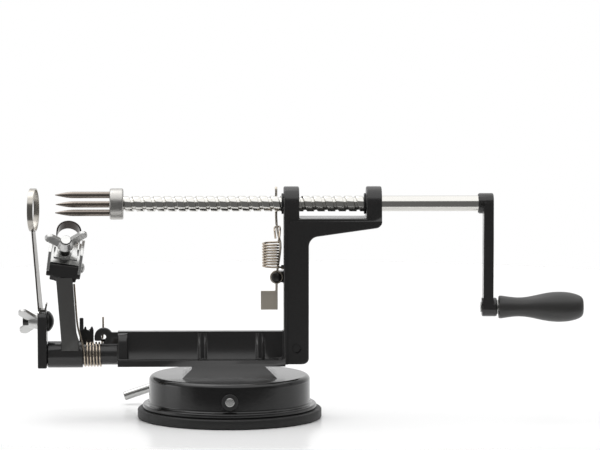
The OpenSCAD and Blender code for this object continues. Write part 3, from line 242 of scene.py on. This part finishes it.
def finish(name, colour, metal, rough, grain, bump, stretch=(1, 1, 1), tint=0.12):
    """A finish whose colour, roughness and surface vary with noise of grain mm."""
    made = bpy.data.materials.new(name)
    made.use_nodes = True
    graph = made.node_tree
    shader = graph.nodes["Principled BSDF"]
    shader.inputs["Metallic"].default_value = metal
    where = graph.nodes.new("ShaderNodeTexCoord")
    turn = graph.nodes.new("ShaderNodeMapping")
    turn.inputs["Scale"].default_value = stretch
    graph.links.new(where.outputs["Object"], turn.inputs["Vector"])
    fine = graph.nodes.new("ShaderNodeTexNoise")
    fine.inputs["Scale"].default_value = 1 / (grain * MM)
    fine.inputs["Detail"].default_value = 3.0
    graph.links.new(turn.outputs["Vector"], fine.inputs["Vector"])
    broad = graph.nodes.new("ShaderNodeTexNoise")
    broad.inputs["Scale"].default_value = 1 / (grain * BROAD_RATIO * MM)
    broad.inputs["Detail"].default_value = 4.0
    graph.links.new(turn.outputs["Vector"], broad.inputs["Vector"])
    gloss = graph.nodes.new("ShaderNodeMapRange")
    gloss.inputs["From Min"].default_value = NOISE_LOW
    gloss.inputs["From Max"].default_value = NOISE_HIGH
    gloss.inputs["To Min"].default_value = rough[0]
    gloss.inputs["To Max"].default_value = rough[1]
    graph.links.new(broad.outputs["Fac"], gloss.inputs["Value"])
    graph.links.new(gloss.outputs["Result"], shader.inputs["Roughness"])
    shade = graph.nodes.new("ShaderNodeMix")
    shade.data_type = "RGBA"
    shade.inputs["A"].default_value = (*[c * (1 - tint) for c in colour], 1)
    shade.inputs["B"].default_value = (*[min(1, c * (1 + tint)) for c in colour], 1)
    graph.links.new(fine.outputs["Fac"], shade.inputs["Factor"])
    graph.links.new(shade.outputs["Result"], shader.inputs["Base Color"])
    skin = graph.nodes.new("ShaderNodeBump")
    skin.inputs["Strength"].default_value = bump
    skin.inputs["Distance"].default_value = BUMP_DEPTH * grain * MM
    graph.links.new(fine.outputs["Fac"], skin.inputs["Height"])
    graph.links.new(skin.outputs["Normal"], shader.inputs["Normal"])
    return made


# %% Finishes
cast_enamel = finish("cast_enamel", (0.025, 0.0243, 0.0243), 0, (0.16, 0.26), 1.0, 0.30)
# The arm's enamel is the frame's enamel painted lighter: painted sheen for the brighter room that the
# arm's web mirrors.
arm_enamel_painted_sheen = finish("arm_enamel_painted_sheen", (0.072, 0.071, 0.068), 0, (0.42, 0.52), 0.8, 0.25)
cap_enamel = finish("cap_enamel", (0.0080, 0.0078, 0.0078), 0, (0.12, 0.18), 2.2, 0.10)
pad_rubber = finish("pad_rubber", (0.0050, 0.0050, 0.0048), 0, (0.50, 0.62), 0.35, 0.30)
black_steel = finish("black_steel", (0.045, 0.044, 0.043), 0.7, (0.26, 0.38), 0.5, 0.15)
rolled_steel = finish("rolled_steel", (0.42, 0.40, 0.365), 1, (0.20, 0.32), 0.5, 0.10, (1, 1, 0.05))
# The strap steel is the ring's steel painted darker: painted shade for the dark front that the turned
# strap mirrors.
strap_steel_painted_shade = finish("strap_steel_painted_shade", (0.22, 0.208, 0.19), 1, (0.20, 0.32), 0.5, 0.10, (1, 1, 0.05))
sheet_steel = finish("sheet_steel", (0.60, 0.55, 0.48), 1, (0.46, 0.60), 0.5, 0.15)
prong_steel = finish("prong_steel", (0.25, 0.22, 0.195), 1, (0.20, 0.30), 0.4, 0.10, (0.04, 1, 1))
# The arch steel is the blade's metal painted almost black: painted shade for the shadow and the dark
# parts that the arch mirrors.
arch_steel_painted_shade = finish("arch_steel_painted_shade", (0.045, 0.038, 0.035), 1, (0.16, 0.26), 0.5, 0.10)
cast_nickel = finish("cast_nickel", (0.60, 0.60, 0.59), 1, (0.30, 0.42), 0.5, 0.45, tint=0.06)
rod_plate = finish("rod_plate", (0.64, 0.63, 0.60), 1, (0.09, 0.15), 0.5, 0.05, (0.05, 1, 1), 0.05)
cast_zinc = finish("cast_zinc", (0.46, 0.45, 0.43), 1, (0.30, 0.42), 0.7, 0.55)
dull_plate = finish("dull_plate", (0.46, 0.46, 0.45), 1, (0.26, 0.38), 0.6, 0.15)
nickel = finish("nickel", (0.66, 0.66, 0.65), 1, (0.16, 0.26), 1.4, 0.16, tint=0.04)
lever_plate = finish("lever_plate", (0.52, 0.52, 0.51), 1, (0.18, 0.26), 0.5, 0.08, (0.1, 1, 1))
spring_wire = finish("spring_wire", (0.50, 0.43, 0.35), 1, (0.18, 0.28), 0.3, 0.08)
black_nylon = finish("black_nylon", (0.012, 0.012, 0.012), 0, (0.40, 0.52), 0.4, 0.15)
grip_plastic = finish("grip_plastic", (0.040, 0.0392, 0.038), 0, (0.36, 0.44), 0.45, 0.22)
print("finishes:", len(bpy.data.materials) - 1)

# %% [markdown]
# ## Castings with soft edges
# The frame, front post, peeling arm and crank are cast and then enamelled, so their edges are soft:
# the mould leaves a small radius and the enamel adds to it. A thin line of light along each edge
# is what makes black metal readable. A copy of each solid is merged into a whole skin, its flat
# triangles are dissolved, and its sharp edges are bevelled. Weighted normals then keep the broad
# faces flat and let only the narrow bevels turn. A bevel can fold over itself in a tight corner,
# so each one is tried first, and an edge near a fold stays crisp.

# %% Piece maker
MERGE_MM = 0.001
FLAT_DEGREES = 0.3


def place(name, bm, finish_used, body=None, stands_for=(), sharp=50, weigh=True):
    """Turns a bmesh into a finished piece at the origin."""
    mesh = bpy.data.meshes.new(name)
    bm.to_mesh(mesh)
    bm.free()
    mesh.materials.append(finish_used)
    mesh.shade_smooth()
    mesh.set_sharp_from_angle(angle=math.radians(sharp))
    piece = bpy.data.objects.new(name, mesh)
    SCENE.objects.link(piece)
    if weigh:
        normals = piece.modifiers.new("flat_faces", "WEIGHTED_NORMAL")
        normals.keep_sharp = True
    if body:
        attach(piece, body)
    if stands_for:
        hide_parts(*stands_for)
    return piece


def whole_skin(node):
    """A merged copy of a solid's mesh with its flat triangles dissolved."""
    bm = bmesh.new()
    bm.from_mesh(nodes[node].data)
    bmesh.ops.remove_doubles(bm, verts=bm.verts, dist=MERGE_MM * MM)
    bmesh.ops.dissolve_limit(
        bm, angle_limit=math.radians(FLAT_DEGREES), verts=bm.verts, edges=bm.edges
    )
    return bm


# %% Bevel that does not fold
BEVEL_TRIES = 4
OFF_SKIN = 0.62
NEAR_SKIN = 0.5
TURNED_OVER = -0.05
SMALL_FACE = 8
FOLD_REACH = 1.6
crisp = []


def folded_places(trial, skin, width):
    """Where a trial bevel has left the solid's skin or turned inside out."""
    places = [v.co.copy() for v in trial.verts if skin.find_nearest(v.co)[3] > OFF_SKIN * width]
    for face in trial.faces:
        middle = face.calc_center_median()
        _, normal, _, distance = skin.find_nearest(middle)
        inside_out = face.normal.dot(normal) < TURNED_OVER
        if inside_out and distance < NEAR_SKIN * width and len(face.verts) <= SMALL_FACE:
            places.append(middle)
    return places


def near_any(edge, places, reach):
    """Whether an edge passes within reach of one of the places."""
    start, end = (v.co for v in edge.verts)
    run = end - start
    for spot_place in places:
        along = min(1.0, max(0.0, (spot_place - start).dot(run) / run.length_squared))
        if (start + run * along - spot_place).length < reach:
            return True
    return False


def soften(bm, width_mm, segments=3, sharp=32, keep=None):
    """Bevels the edges that turn by more than sharp degrees, except near a fold.

    A skin whose bevel still folds after the last try comes back as it was."""
    width = width_mm * MM
    bm.normal_update()
    skin = BVHTree.FromBMesh(bm)
    chosen = [
        e.index for e in bm.edges
        if len(e.link_faces) == 2
        and e.calc_face_angle() > math.radians(sharp)
        and not (keep and keep(e))
    ]
    for _ in range(BEVEL_TRIES):
        trial = bm.copy()
        trial.edges.ensure_lookup_table()
        bmesh.ops.bevel(
            trial, geom=[trial.edges[i] for i in chosen], offset=width, offset_type="OFFSET",
            segments=segments, profile=0.5, affect="EDGES", clamp_overlap=False, material=-1,
        )
        trial.normal_update()
        places = folded_places(trial, skin, width)
        bm.edges.ensure_lookup_table()
        smooth = [i for i in chosen if not near_any(bm.edges[i], places, FOLD_REACH * width)]
        if len(smooth) == len(chosen):
            bm.free()
            return trial
        trial.free()
        chosen = smooth
    return bm


def refinish(piece, second_finish, chosen):
    """Gives the faces whose middle in mm is chosen a second finish."""
    piece.data.materials.append(second_finish)
    for face in piece.data.polygons:
        if chosen(face.center / MM):
            face.material_index = 1


def softened(name, node, width, finish_used, segments=3, keep=None):
    """A piece with a solid's own shape and softened edges, which stands for that solid."""
    skin = whole_skin(node)
    plain_faces = len(skin.faces)
    bm = soften(skin, width, segments, keep=keep)
    if len(bm.faces) == plain_faces:
        crisp.append(name)
    return place(name, bm, finish_used, nodes[node]["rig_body"], [node])


# %% Castings
BAR_Z = 38.55
SLEEVE_R = 8.05
WEB_TOP = 84.0
MARK_X = 40.3
MARK_Z = 43.2
MARK_REACH = 3.2
MARK_Y = -10.9


def off_web(spot_mm):
    """The sleeve, the head and the spring stop are glossier than the arm's web, whose enamel is painted
    lighter: a painted sheen for the brighter room that it mirrors.
    """
    on_sleeve = math.hypot(spot_mm.y, spot_mm.z - BAR_Z) < SLEEVE_R + 0.4
    return on_sleeve or spot_mm.z > WEB_TOP or spot_mm.y > SLEEVE_R - 1


def in_ejector_mark(edge):
    """The shallow round mark on the upright's near side keeps its crisp edge."""
    middle = (edge.verts[0].co + edge.verts[1].co) / 2 / MM
    beside = max(abs(middle.x - MARK_X), abs(middle.z - MARK_Z))
    return middle.y < MARK_Y and beside < MARK_REACH


softened("cast_frame", "frame_casting", 0.9, cast_enamel, keep=in_ejector_mark)
softened("post_casting", "front_post", 0.7, cast_enamel)
arm = softened("arm_casting", "peel_arm", 0.6, arm_enamel_painted_sheen)
# The web keeps the lighter enamel, a painted sheen, and the rest of the arm gets the frame's enamel.
refinish(arm, cast_enamel, off_web)
softened("crank_casting", "crank_arm", 0.9, cast_enamel)

# %% [markdown]
# ## Sheet metal
# The slicing blade, the channel that holds the peeling blade, the blade itself, the feed
# lever and the washers are stamped from sheet. A stamped edge is only broken, so the same
# tool runs with a much narrower bevel. The strap below the coring ring and the arch of the
# peeling blade above its foot get a second, darker finish: painted shade, which stands in for
# the shadow and the dark reflections on them.

# %% Sheet metal
RING_FOOT_Z = 114.0
ARCH_STARTS = 3.5
HEAD = Vector((-100.5, 2.0, 104.3))
HEAD_TILT = math.radians(40)
UP_HEAD = Vector((0, math.sin(HEAD_TILT), math.cos(HEAD_TILT)))
OUT_OF_HEAD = Vector((0, -math.cos(HEAD_TILT), math.sin(HEAD_TILT)))


def up_head(spot_mm):
    """How far a place lies up the slope of the arm's head, in mm."""
    return (spot_mm - HEAD).dot(UP_HEAD)


strip = softened("slicing_strip", "slicing_blade", 0.16, rolled_steel, 2)
# Below the ring's foot the strap gets the darker steel, which is painted shade.
refinish(strip, strap_steel_painted_shade, lambda spot_mm: spot_mm.z < RING_FOOT_Z)
softened("blade_channel", "blade_holder", 0.22, nickel, 2)
blade = softened("arched_blade", "peel_blade", 0.16, nickel, 2)
# Up the head from the foot, the arch gets the near-black steel, which is painted shade.
refinish(blade, arch_steel_painted_shade, lambda spot_mm: up_head(spot_mm) > ARCH_STARTS)
softened("feed_catch", "feed_lever", 0.22, sheet_steel, 2)
softened("slicer_washer_disc", "slicer_washer", 0.2, nickel, 2)
softened("peel_washer_disc", "peel_washer", 0.2, nickel, 2)
softened("grip_washer_disc", "grip_washer", 0.15, dull_plate, 2)
print("sheet pieces stand for:", len([n for n in nodes.values() if n.hide_render]), "solids so far")

# %% [markdown]
# ## Screws, bolts and pins
# Small fasteners carry the sparkle of a machine. They are turned parts, so their solids are
# already round. They only need a broken edge and their own finish: blackened heads, plated steel
# for the channel's screw, the grip's rivet and the works inside the foot, and black nylon bushes.
# The bolt of the peeling blade is dark below its wing nut and bright at its end.

# %% Fasteners
BRIGHT_END = 12.0
softened("post_screw_head", "post_screw", 0.2, black_steel, 2)
softened("slicer_bolt_head", "slicer_bolt", 0.25, black_steel, 2)
softened("channel_screw", "holder_screw", 0.2, dull_plate, 2)
softened("catch_screw", "feed_lever_screw", 0.2, black_steel, 2)
softened("crank_cross_pin", "crank_pin", 0.2, black_steel, 2)
bolt = softened("peel_bolt_plated", "peel_bolt", 0.25, black_steel, 2)
refinish(bolt, nickel, lambda spot_mm: (spot_mm - HEAD).dot(OUT_OF_HEAD) > BRIGHT_END)
softened("grip_rivet", "grip_axle", 0.25, dull_plate, 2)
softened("foot_screws", "base_screws", 0.25, dull_plate, 2)
softened("foot_washers", "base_washers", 0.15, dull_plate, 2)
softened("cam_plated", "lever_cam", 0.2, dull_plate, 2)
softened("plunger_plated", "plunger", 0.2, dull_plate, 2)
softened("front_bush_nylon", "front_bush", 0.15, black_nylon, 2)
softened("rear_bush_nylon", "rear_bush", 0.15, black_nylon, 2)
softened("lever_bush_nylon", "lever_bushes", 0.25, black_nylon, 2)
print("solids dressed so far:", len([n for n in nodes.values() if n.hide_render]))

# %% [markdown]
# ## Wing nuts
# A wing nut is die cast, so its wings grow out of the hub with a fillet and its ends are plump.
# Modelling those fillets by hand is slow. Remeshing the solid into small even cells and
# smoothing them melts the sharp joints into fillets, just as the casting has them.

# %% Wing nuts
CELL_MM = 0.24


def cast_nut(name, node):
    """A wing nut whose joints are melted into fillets."""
    bm = whole_skin(node)
    body = nodes[node]["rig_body"]
    nut = place(name, bm, cast_nickel, body, [node], sharp=80, weigh=False)
    cells = nut.modifiers.new("even_cells", "REMESH")
    cells.mode = "VOXEL"
    cells.voxel_size = CELL_MM * MM
    cells.use_smooth_shade = True
    melt = nut.modifiers.new("melted_joints", "SMOOTH")
    melt.factor = 0.5
    melt.iterations = 8


cast_nut("slicer_nut_cast", "slicer_wing_nut")
cast_nut("peel_nut_cast", "peel_wing_nut")
print("wing nuts: 2")

# %% [markdown]
# ## Feed screw
# The long thread is what moves the apple, and it is the machine's most skilful feature. A screw
# is a turned outline that slides along as it turns, and the spin operator can do just that: one
# pitch of the outline, with its groove, is spun through all the turns with a small step along
# the rod. Each turn then meets the next, and the doubles are merged.

# %% Turned pieces
def outline(bm, points):
    """A chain of edges through (along, radius) in mm, along X."""
    verts = [bm.verts.new((a * MM, r * MM, 0)) for a, r in points]
    edges = [bm.edges.new(pair) for pair in zip(verts, verts[1:])]
    return verts + edges


def turned(points, steps=64):
    """Spins an outline once round the X axis into a closed skin."""
    bm = bmesh.new()
    bmesh.ops.spin(
        bm, geom=outline(bm, points), cent=(0, 0, 0), axis=(1, 0, 0),
        angle=2 * math.pi, steps=steps, use_merge=True,
    )
    bmesh.ops.remove_doubles(bm, verts=bm.verts, dist=MERGE_MM * MM)
    bmesh.ops.recalc_face_normals(bm, faces=bm.faces)
    return bm


def move(bm, place_mm, axis=(1, 0, 0)):
    """Points the turned piece along an axis and carries it to its place."""
    turn = Vector((1, 0, 0)).rotation_difference(Vector(axis)).to_matrix().to_4x4()
    shift = Matrix.Translation(Vector(place_mm) * MM)
    bmesh.ops.transform(bm, matrix=shift @ turn, verts=bm.verts)
    return bm


def joined(*parts):
    """One bmesh from several."""
    whole = bmesh.new()
    for part in parts:
        scrap = bpy.data.meshes.new("scrap")
        part.to_mesh(scrap)
        part.free()
        whole.from_mesh(scrap)
        bpy.data.meshes.remove(scrap)
    return whole


# %% Feed screw
AXIS_Z = 129.7
PITCH = 6.4
TOOTH_X = 28.4
THREAD_ENDS = (-63.7, 90.0)
ROD_R = 4.75
GROOVE_R = 3.85
SHANK_END = 158.4
SHANK_CHAMFER = 0.5
SPIGOT_END = -70.4
SPIGOT_R = 3.7
STEPS = 48
half_pitch = [
    (0.68, GROOVE_R), (0.86, GROOVE_R + 0.16), (1.04, ROD_R - 0.2), (1.16, ROD_R - 0.06),
    (1.35, ROD_R), (PITCH / 2, ROD_R),
]
one_pitch = [(-a, r) for a, r in reversed(half_pitch)] + half_pitch
first = math.floor((THREAD_ENDS[0] - TOOTH_X) / PITCH) - 1
turns = math.ceil((THREAD_ENDS[1] - TOOTH_X) / PITCH) + 1 - first
thread = bmesh.new()
chain = outline(thread, [(TOOTH_X + first * PITCH + a, r) for a, r in one_pitch])
bmesh.ops.spin(
    thread, geom=chain, cent=(0, 0, 0), axis=(1, 0, 0), dvec=(PITCH * MM / STEPS, 0, 0),
    angle=2 * math.pi * turns, steps=STEPS * turns,
)
bmesh.ops.remove_doubles(thread, verts=thread.verts, dist=0.005 * MM)
for end, side in zip(THREAD_ENDS, (-1, 1)):
    cut = bmesh.ops.bisect_plane(
        thread, geom=thread.verts[:] + thread.edges[:] + thread.faces[:],
        plane_co=(end * MM, 0, 0), plane_no=(side, 0, 0), clear_outer=True,
    )
    cut_edges = [e for e in cut["geom_cut"] if isinstance(e, bmesh.types.BMEdge)]
    bmesh.ops.contextual_create(thread, geom=cut_edges)
bmesh.ops.recalc_face_normals(thread, faces=thread.faces)
thread_front, thread_back = THREAD_ENDS
shank = turned([
    (thread_back, 0), (thread_back, ROD_R), (SHANK_END - SHANK_CHAMFER, ROD_R),
    (SHANK_END, ROD_R - SHANK_CHAMFER), (SHANK_END, 0),
])
spigot = turned([
    (SPIGOT_END, 0), (SPIGOT_END, SPIGOT_R), (thread_front, SPIGOT_R), (thread_front, 0),
])
screw = move(joined(thread, shank, spigot), (0, 0, AXIS_Z))
spindle = place(
    "threaded_spindle", screw, rod_plate, "spindle", ["feed_screw"], 40, weigh=False
)
print("thread turns:", turns, "faces:", len(spindle.data.polygons))

# %% [markdown]
# ## Fork
# Three prongs hold the apple. Each is a drawn rod with a long rounded point, like a pencil that
# has been polished, so its outline is an arc and not a cone. They stand in a cast hub.

# %% Fork
HUB_X = -71.9
PRONG_R = 2.0
PRONG_L = 32.7
POINT_L = 11.5
TIP_R = 0.25
POINT_STEPS = 14
TANG_R = 1.75
TANG_END = PRONG_L + 5.5
FORK_R = 6.2
FORK_TURN = -7
tip = [(-0.12, 0.0), (-0.08, 0.14)]
point = []
for k in range(POINT_STEPS + 1):
    part_way = k / POINT_STEPS
    point.append((POINT_L * part_way, TIP_R + (PRONG_R - TIP_R) * math.sin(math.pi / 2 * part_way)))
tang = [(PRONG_L, PRONG_R), (PRONG_L, TANG_R), (TANG_END, TANG_R), (TANG_END, 0)]
prongs = []
for k in range(3):
    angle = math.radians(120 * k + FORK_TURN)
    centre = (HUB_X - PRONG_L, FORK_R * math.cos(angle), AXIS_Z + FORK_R * math.sin(angle))
    prongs.append(move(turned(tip + point + tang, 32), centre))
fork = joined(*prongs)
place("fork_prong_set", fork, prong_steel, "spindle", ["fork_prongs"], 60, weigh=False)
softened("fork_hub_cast", "fork_hub", 0.35, cast_zinc)
print("prongs:", len(prongs))

# %% [markdown]
# ## Springs
# Two springs work here: one presses the peeling blade on the fruit, and one pulls the feed
# lever's tooth into the thread. A spring is one wire, so a curve is the natural tool. The path is
# a helix with straight legs or hooks at its ends, and the curve's own bevel gives it a round
# section. Each wire is made a mesh that runs between the two pieces that hold its ends.

# %% Wire maker
WIRE_D = 1.2


def bent_wire(name, points, diameter):
    """A round wire along a path in mm."""
    path = bpy.data.curves.new(name, "CURVE")
    path.dimensions = "3D"
    path.bevel_depth = diameter / 2 * MM
    path.bevel_resolution = 3
    path.use_fill_caps = True
    spline = path.splines.new("NURBS")
    spline.points.add(len(points) - 1)
    for knot, place_mm in zip(spline.points, points):
        knot.co = (*[c * MM for c in place_mm], 1)
    spline.use_endpoint_u = True
    spline.order_u = 4
    spline.resolution_u = 2
    holder = bpy.data.objects.new(name + "_path", path)
    SCENE.objects.link(holder)
    bpy.context.view_layer.update()
    drawn = holder.evaluated_get(bpy.context.evaluated_depsgraph_get())
    mesh = bpy.data.meshes.new_from_object(drawn)
    bpy.data.objects.remove(holder)
    bm = bmesh.new()
    bm.from_mesh(mesh)
    bpy.data.meshes.remove(mesh)
    bmesh.ops.remove_doubles(bm, verts=bm.verts, dist=MERGE_MM * MM)
    bmesh.ops.recalc_face_normals(bm, faces=bm.faces)
    return bm


# %% Peeling arm's spring
COIL_R = 7.15
COIL_X0 = -87.5
COIL_STEP = 1.85
COIL_TURNS = 5.5
COIL_KNOTS = 28
EAR_X = -76.5
arm_leg = [
    (-93.45, -5.0, 81.9), (-92.9, -5.0, 74.0), (-92.4, -5.0, 66.0), (-91.9, -5.0, 58.6),
    (-91.1, -5.4, 53.6), (-88.9, -6.6, 47.0), (COIL_X0 - 0.25, -COIL_R, BAR_Z + 3.5),
    (COIL_X0 - 0.05, -COIL_R, BAR_Z + 1.5),
]
coil = []
for k in range(int(COIL_KNOTS * COIL_TURNS) + 1):
    angle = math.pi + 2 * math.pi * k / COIL_KNOTS
    knot_x = COIL_X0 + COIL_STEP * k / COIL_KNOTS
    coil.append((knot_x, COIL_R * math.cos(angle), BAR_Z + COIL_R * math.sin(angle)))
coil_end = COIL_X0 + COIL_STEP * COIL_TURNS
ear_leg = [
    (coil_end, COIL_R, BAR_Z + 2.5), (coil_end - 0.1, COIL_R - 0.1, BAR_Z + 6.0),
    (EAR_X, COIL_R - 0.5, BAR_Z + 12.0), (EAR_X, COIL_R - 1.0, BAR_Z + 17.0),
    (EAR_X, COIL_R - 1.5, BAR_Z + 22.0),
]
wire = bent_wire("peel_wire", arm_leg + coil + ear_leg, WIRE_D)
peel_coil = place(
    "peel_coil_spring", wire, spring_wire, None, ["peel_spring"], 70, weigh=False
)
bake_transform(peel_coil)
print("arm spring turns:", COIL_TURNS)

# %% Feed lever's spring
FEED_X = 24.8
FEED_Y = -9.15
FEED_Z = 92.3
FEED_R = 4.7
FEED_STEP = 1.65
FEED_TURNS = 9
FEED_KNOTS = 24
FEED_FIRST = 3
low_hook = [(31.95, -8.5, 90.85), (31.9, -8.5, 91.6), (31.4, -8.9, 92.2), (30.0, -10.4, 92.3)]
feed_helix = []
for k in range(FEED_FIRST, FEED_KNOTS * FEED_TURNS + 1):
    angle = -2 * math.pi * k / FEED_KNOTS
    knot_z = FEED_Z + FEED_STEP * k / FEED_KNOTS
    feed_helix.append((FEED_X + FEED_R * math.cos(angle), FEED_Y + FEED_R * math.sin(angle), knot_z))
high_hook = [
    (29.4, -10.9, 107.7), (29.9, -10.9, 109.3), (30.5, -8.5, 113.6), (30.55, -5.0, 115.5),
    (30.55, 0.0, 115.6), (30.5, 6.1, 115.6), (29.9, 7.05, 115.0), (27.9, 7.05, 115.0),
    (27.3, 6.1, 114.8), (27.25, 0.0, 114.2), (27.4, -3.2, 112.4), (27.8, -4.3, 109.0),
]
wire = bent_wire("feed_wire", low_hook + feed_helix + high_hook, WIRE_D)
feed_coil = place(
    "feed_coil_spring", wire, spring_wire, None, ["feed_lever_spring"], 70, weigh=False
)
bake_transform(feed_coil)
print("feed spring turns:", FEED_TURNS)

# %% [markdown]
# ## Foot
# The foot is a pressed steel cap with a deep gloss on a rubber pad. A lever through the cap turns
# a cam that lifts a plate in the pad, and the pad then holds the table by suction. The cap and
# lever keep their solids' shapes. The pad is spun afresh with a rounded rim and grooves below,
# and its middle is a disc of its own, because it rises with the plate.

# %% Cap and lever
softened("pressed_cap", "suction_cap", 0.3, cap_enamel)
softened("lever_rod", "suction_lever", 0.5, lever_plate, 2)
print("pieces whose edges all stay crisp:", crisp)

# %% Pad
PAD_R = 55.7
PAD_T = 6.0
CORE_R = 22.0
RIM_BORE_R = CORE_R + 0.3
pad_outline = [
    (0.0, RIM_BORE_R), (0.0, 30.0), (0.6, 30.6), (0.6, 32.4), (0.0, 33.0), (0.0, 40.0), (0.6, 40.6),
    (0.6, 42.4), (0.0, 43.0), (0.0, PAD_R - 1.4), (0.12, PAD_R - 0.8), (0.45, PAD_R - 0.3), (0.9, PAD_R),
    (PAD_T - 0.9, PAD_R), (PAD_T - 0.45, PAD_R - 0.2), (PAD_T - 0.12, PAD_R - 0.6), (PAD_T, PAD_R - 1.2),
    (PAD_T, RIM_BORE_R), (0.0, RIM_BORE_R),
]
UPRIGHT = (0, 0, 1)
rim = move(turned(pad_outline, 160), (0, 0, 0), UPRIGHT)
place("pad_rim", rim, pad_rubber, "frame", ["suction_pad"], 40, weigh=False)
core_outline = [
    (0.0, 0.0), (0.0, 8.0), (0.6, 8.6), (0.6, 10.4), (0.0, 11.0), (0.0, CORE_R - 0.4), (0.4, CORE_R),
    (PAD_T - 0.4, CORE_R), (PAD_T, CORE_R - 0.4), (PAD_T, 13.3), (5.7, 13.3), (5.7, 20.1),
    (3.45, 20.1), (3.45, 0.0),
]
core = move(turned(core_outline, 96), (0, 0, 0), UPRIGHT)
place("pad_core", core, pad_rubber, "plunger", ["suction_pad"], 40, weigh=False)
print("pad", 2 * PAD_R, "mm across")

# %% [markdown]
# ## Grip
# The grip is a moulded plastic pear that turns on its rivet. Its outline is one flowing line, so
# a few points are spun round the axle and a subdivision surface draws the flow between them.

# %% Grip
GRIP_X = 162.85
GRIP_Z = 66.7
GRIP_L = 51.4
BORE_R = 2.6
RECESS = 2.4
grip_outline = [
    (0.0, BORE_R), (0.0, 6.3), (0.15, 6.75), (0.6, 6.95), (1.4, 6.95), (2.2, 6.9), (5.0, 6.45),
    (9.0, 5.9), (12.4, 5.75), (16.0, 5.95), (20.0, 6.6), (25.0, 7.75), (30.0, 8.75), (34.0, 9.15),
    (37.5, 9.2), (41.0, 9.05), (44.5, 8.5), (47.5, 7.65), (49.6, 6.75), (50.6, 5.9), (51.2, 5.0),
    (GRIP_L, 4.5), (GRIP_L, 3.9), (51.2, 3.6), (GRIP_L - RECESS, 3.55), (GRIP_L - RECESS, BORE_R),
    (0.0, BORE_R),
]
pear = move(turned(grip_outline, 48), (GRIP_X, 0, GRIP_Z))
grip = place("grip_pear", pear, grip_plastic, "grip", ["grip"], 70, weigh=False)
flow = grip.modifiers.new("flow", "SUBSURF")
flow.levels = 1
flow.render_levels = 1
print("grip", GRIP_L, "mm long")

# %% [markdown]
# ## Solids still showing
# A portrait must not change the sitter. The solids that no dressed piece stands for are listed,
# so that a solid left showing is seen at once.

# %% Solids still showing
bare = sorted(name for name, node in nodes.items() if not node.hide_render)
print("solids still showing:", bare)
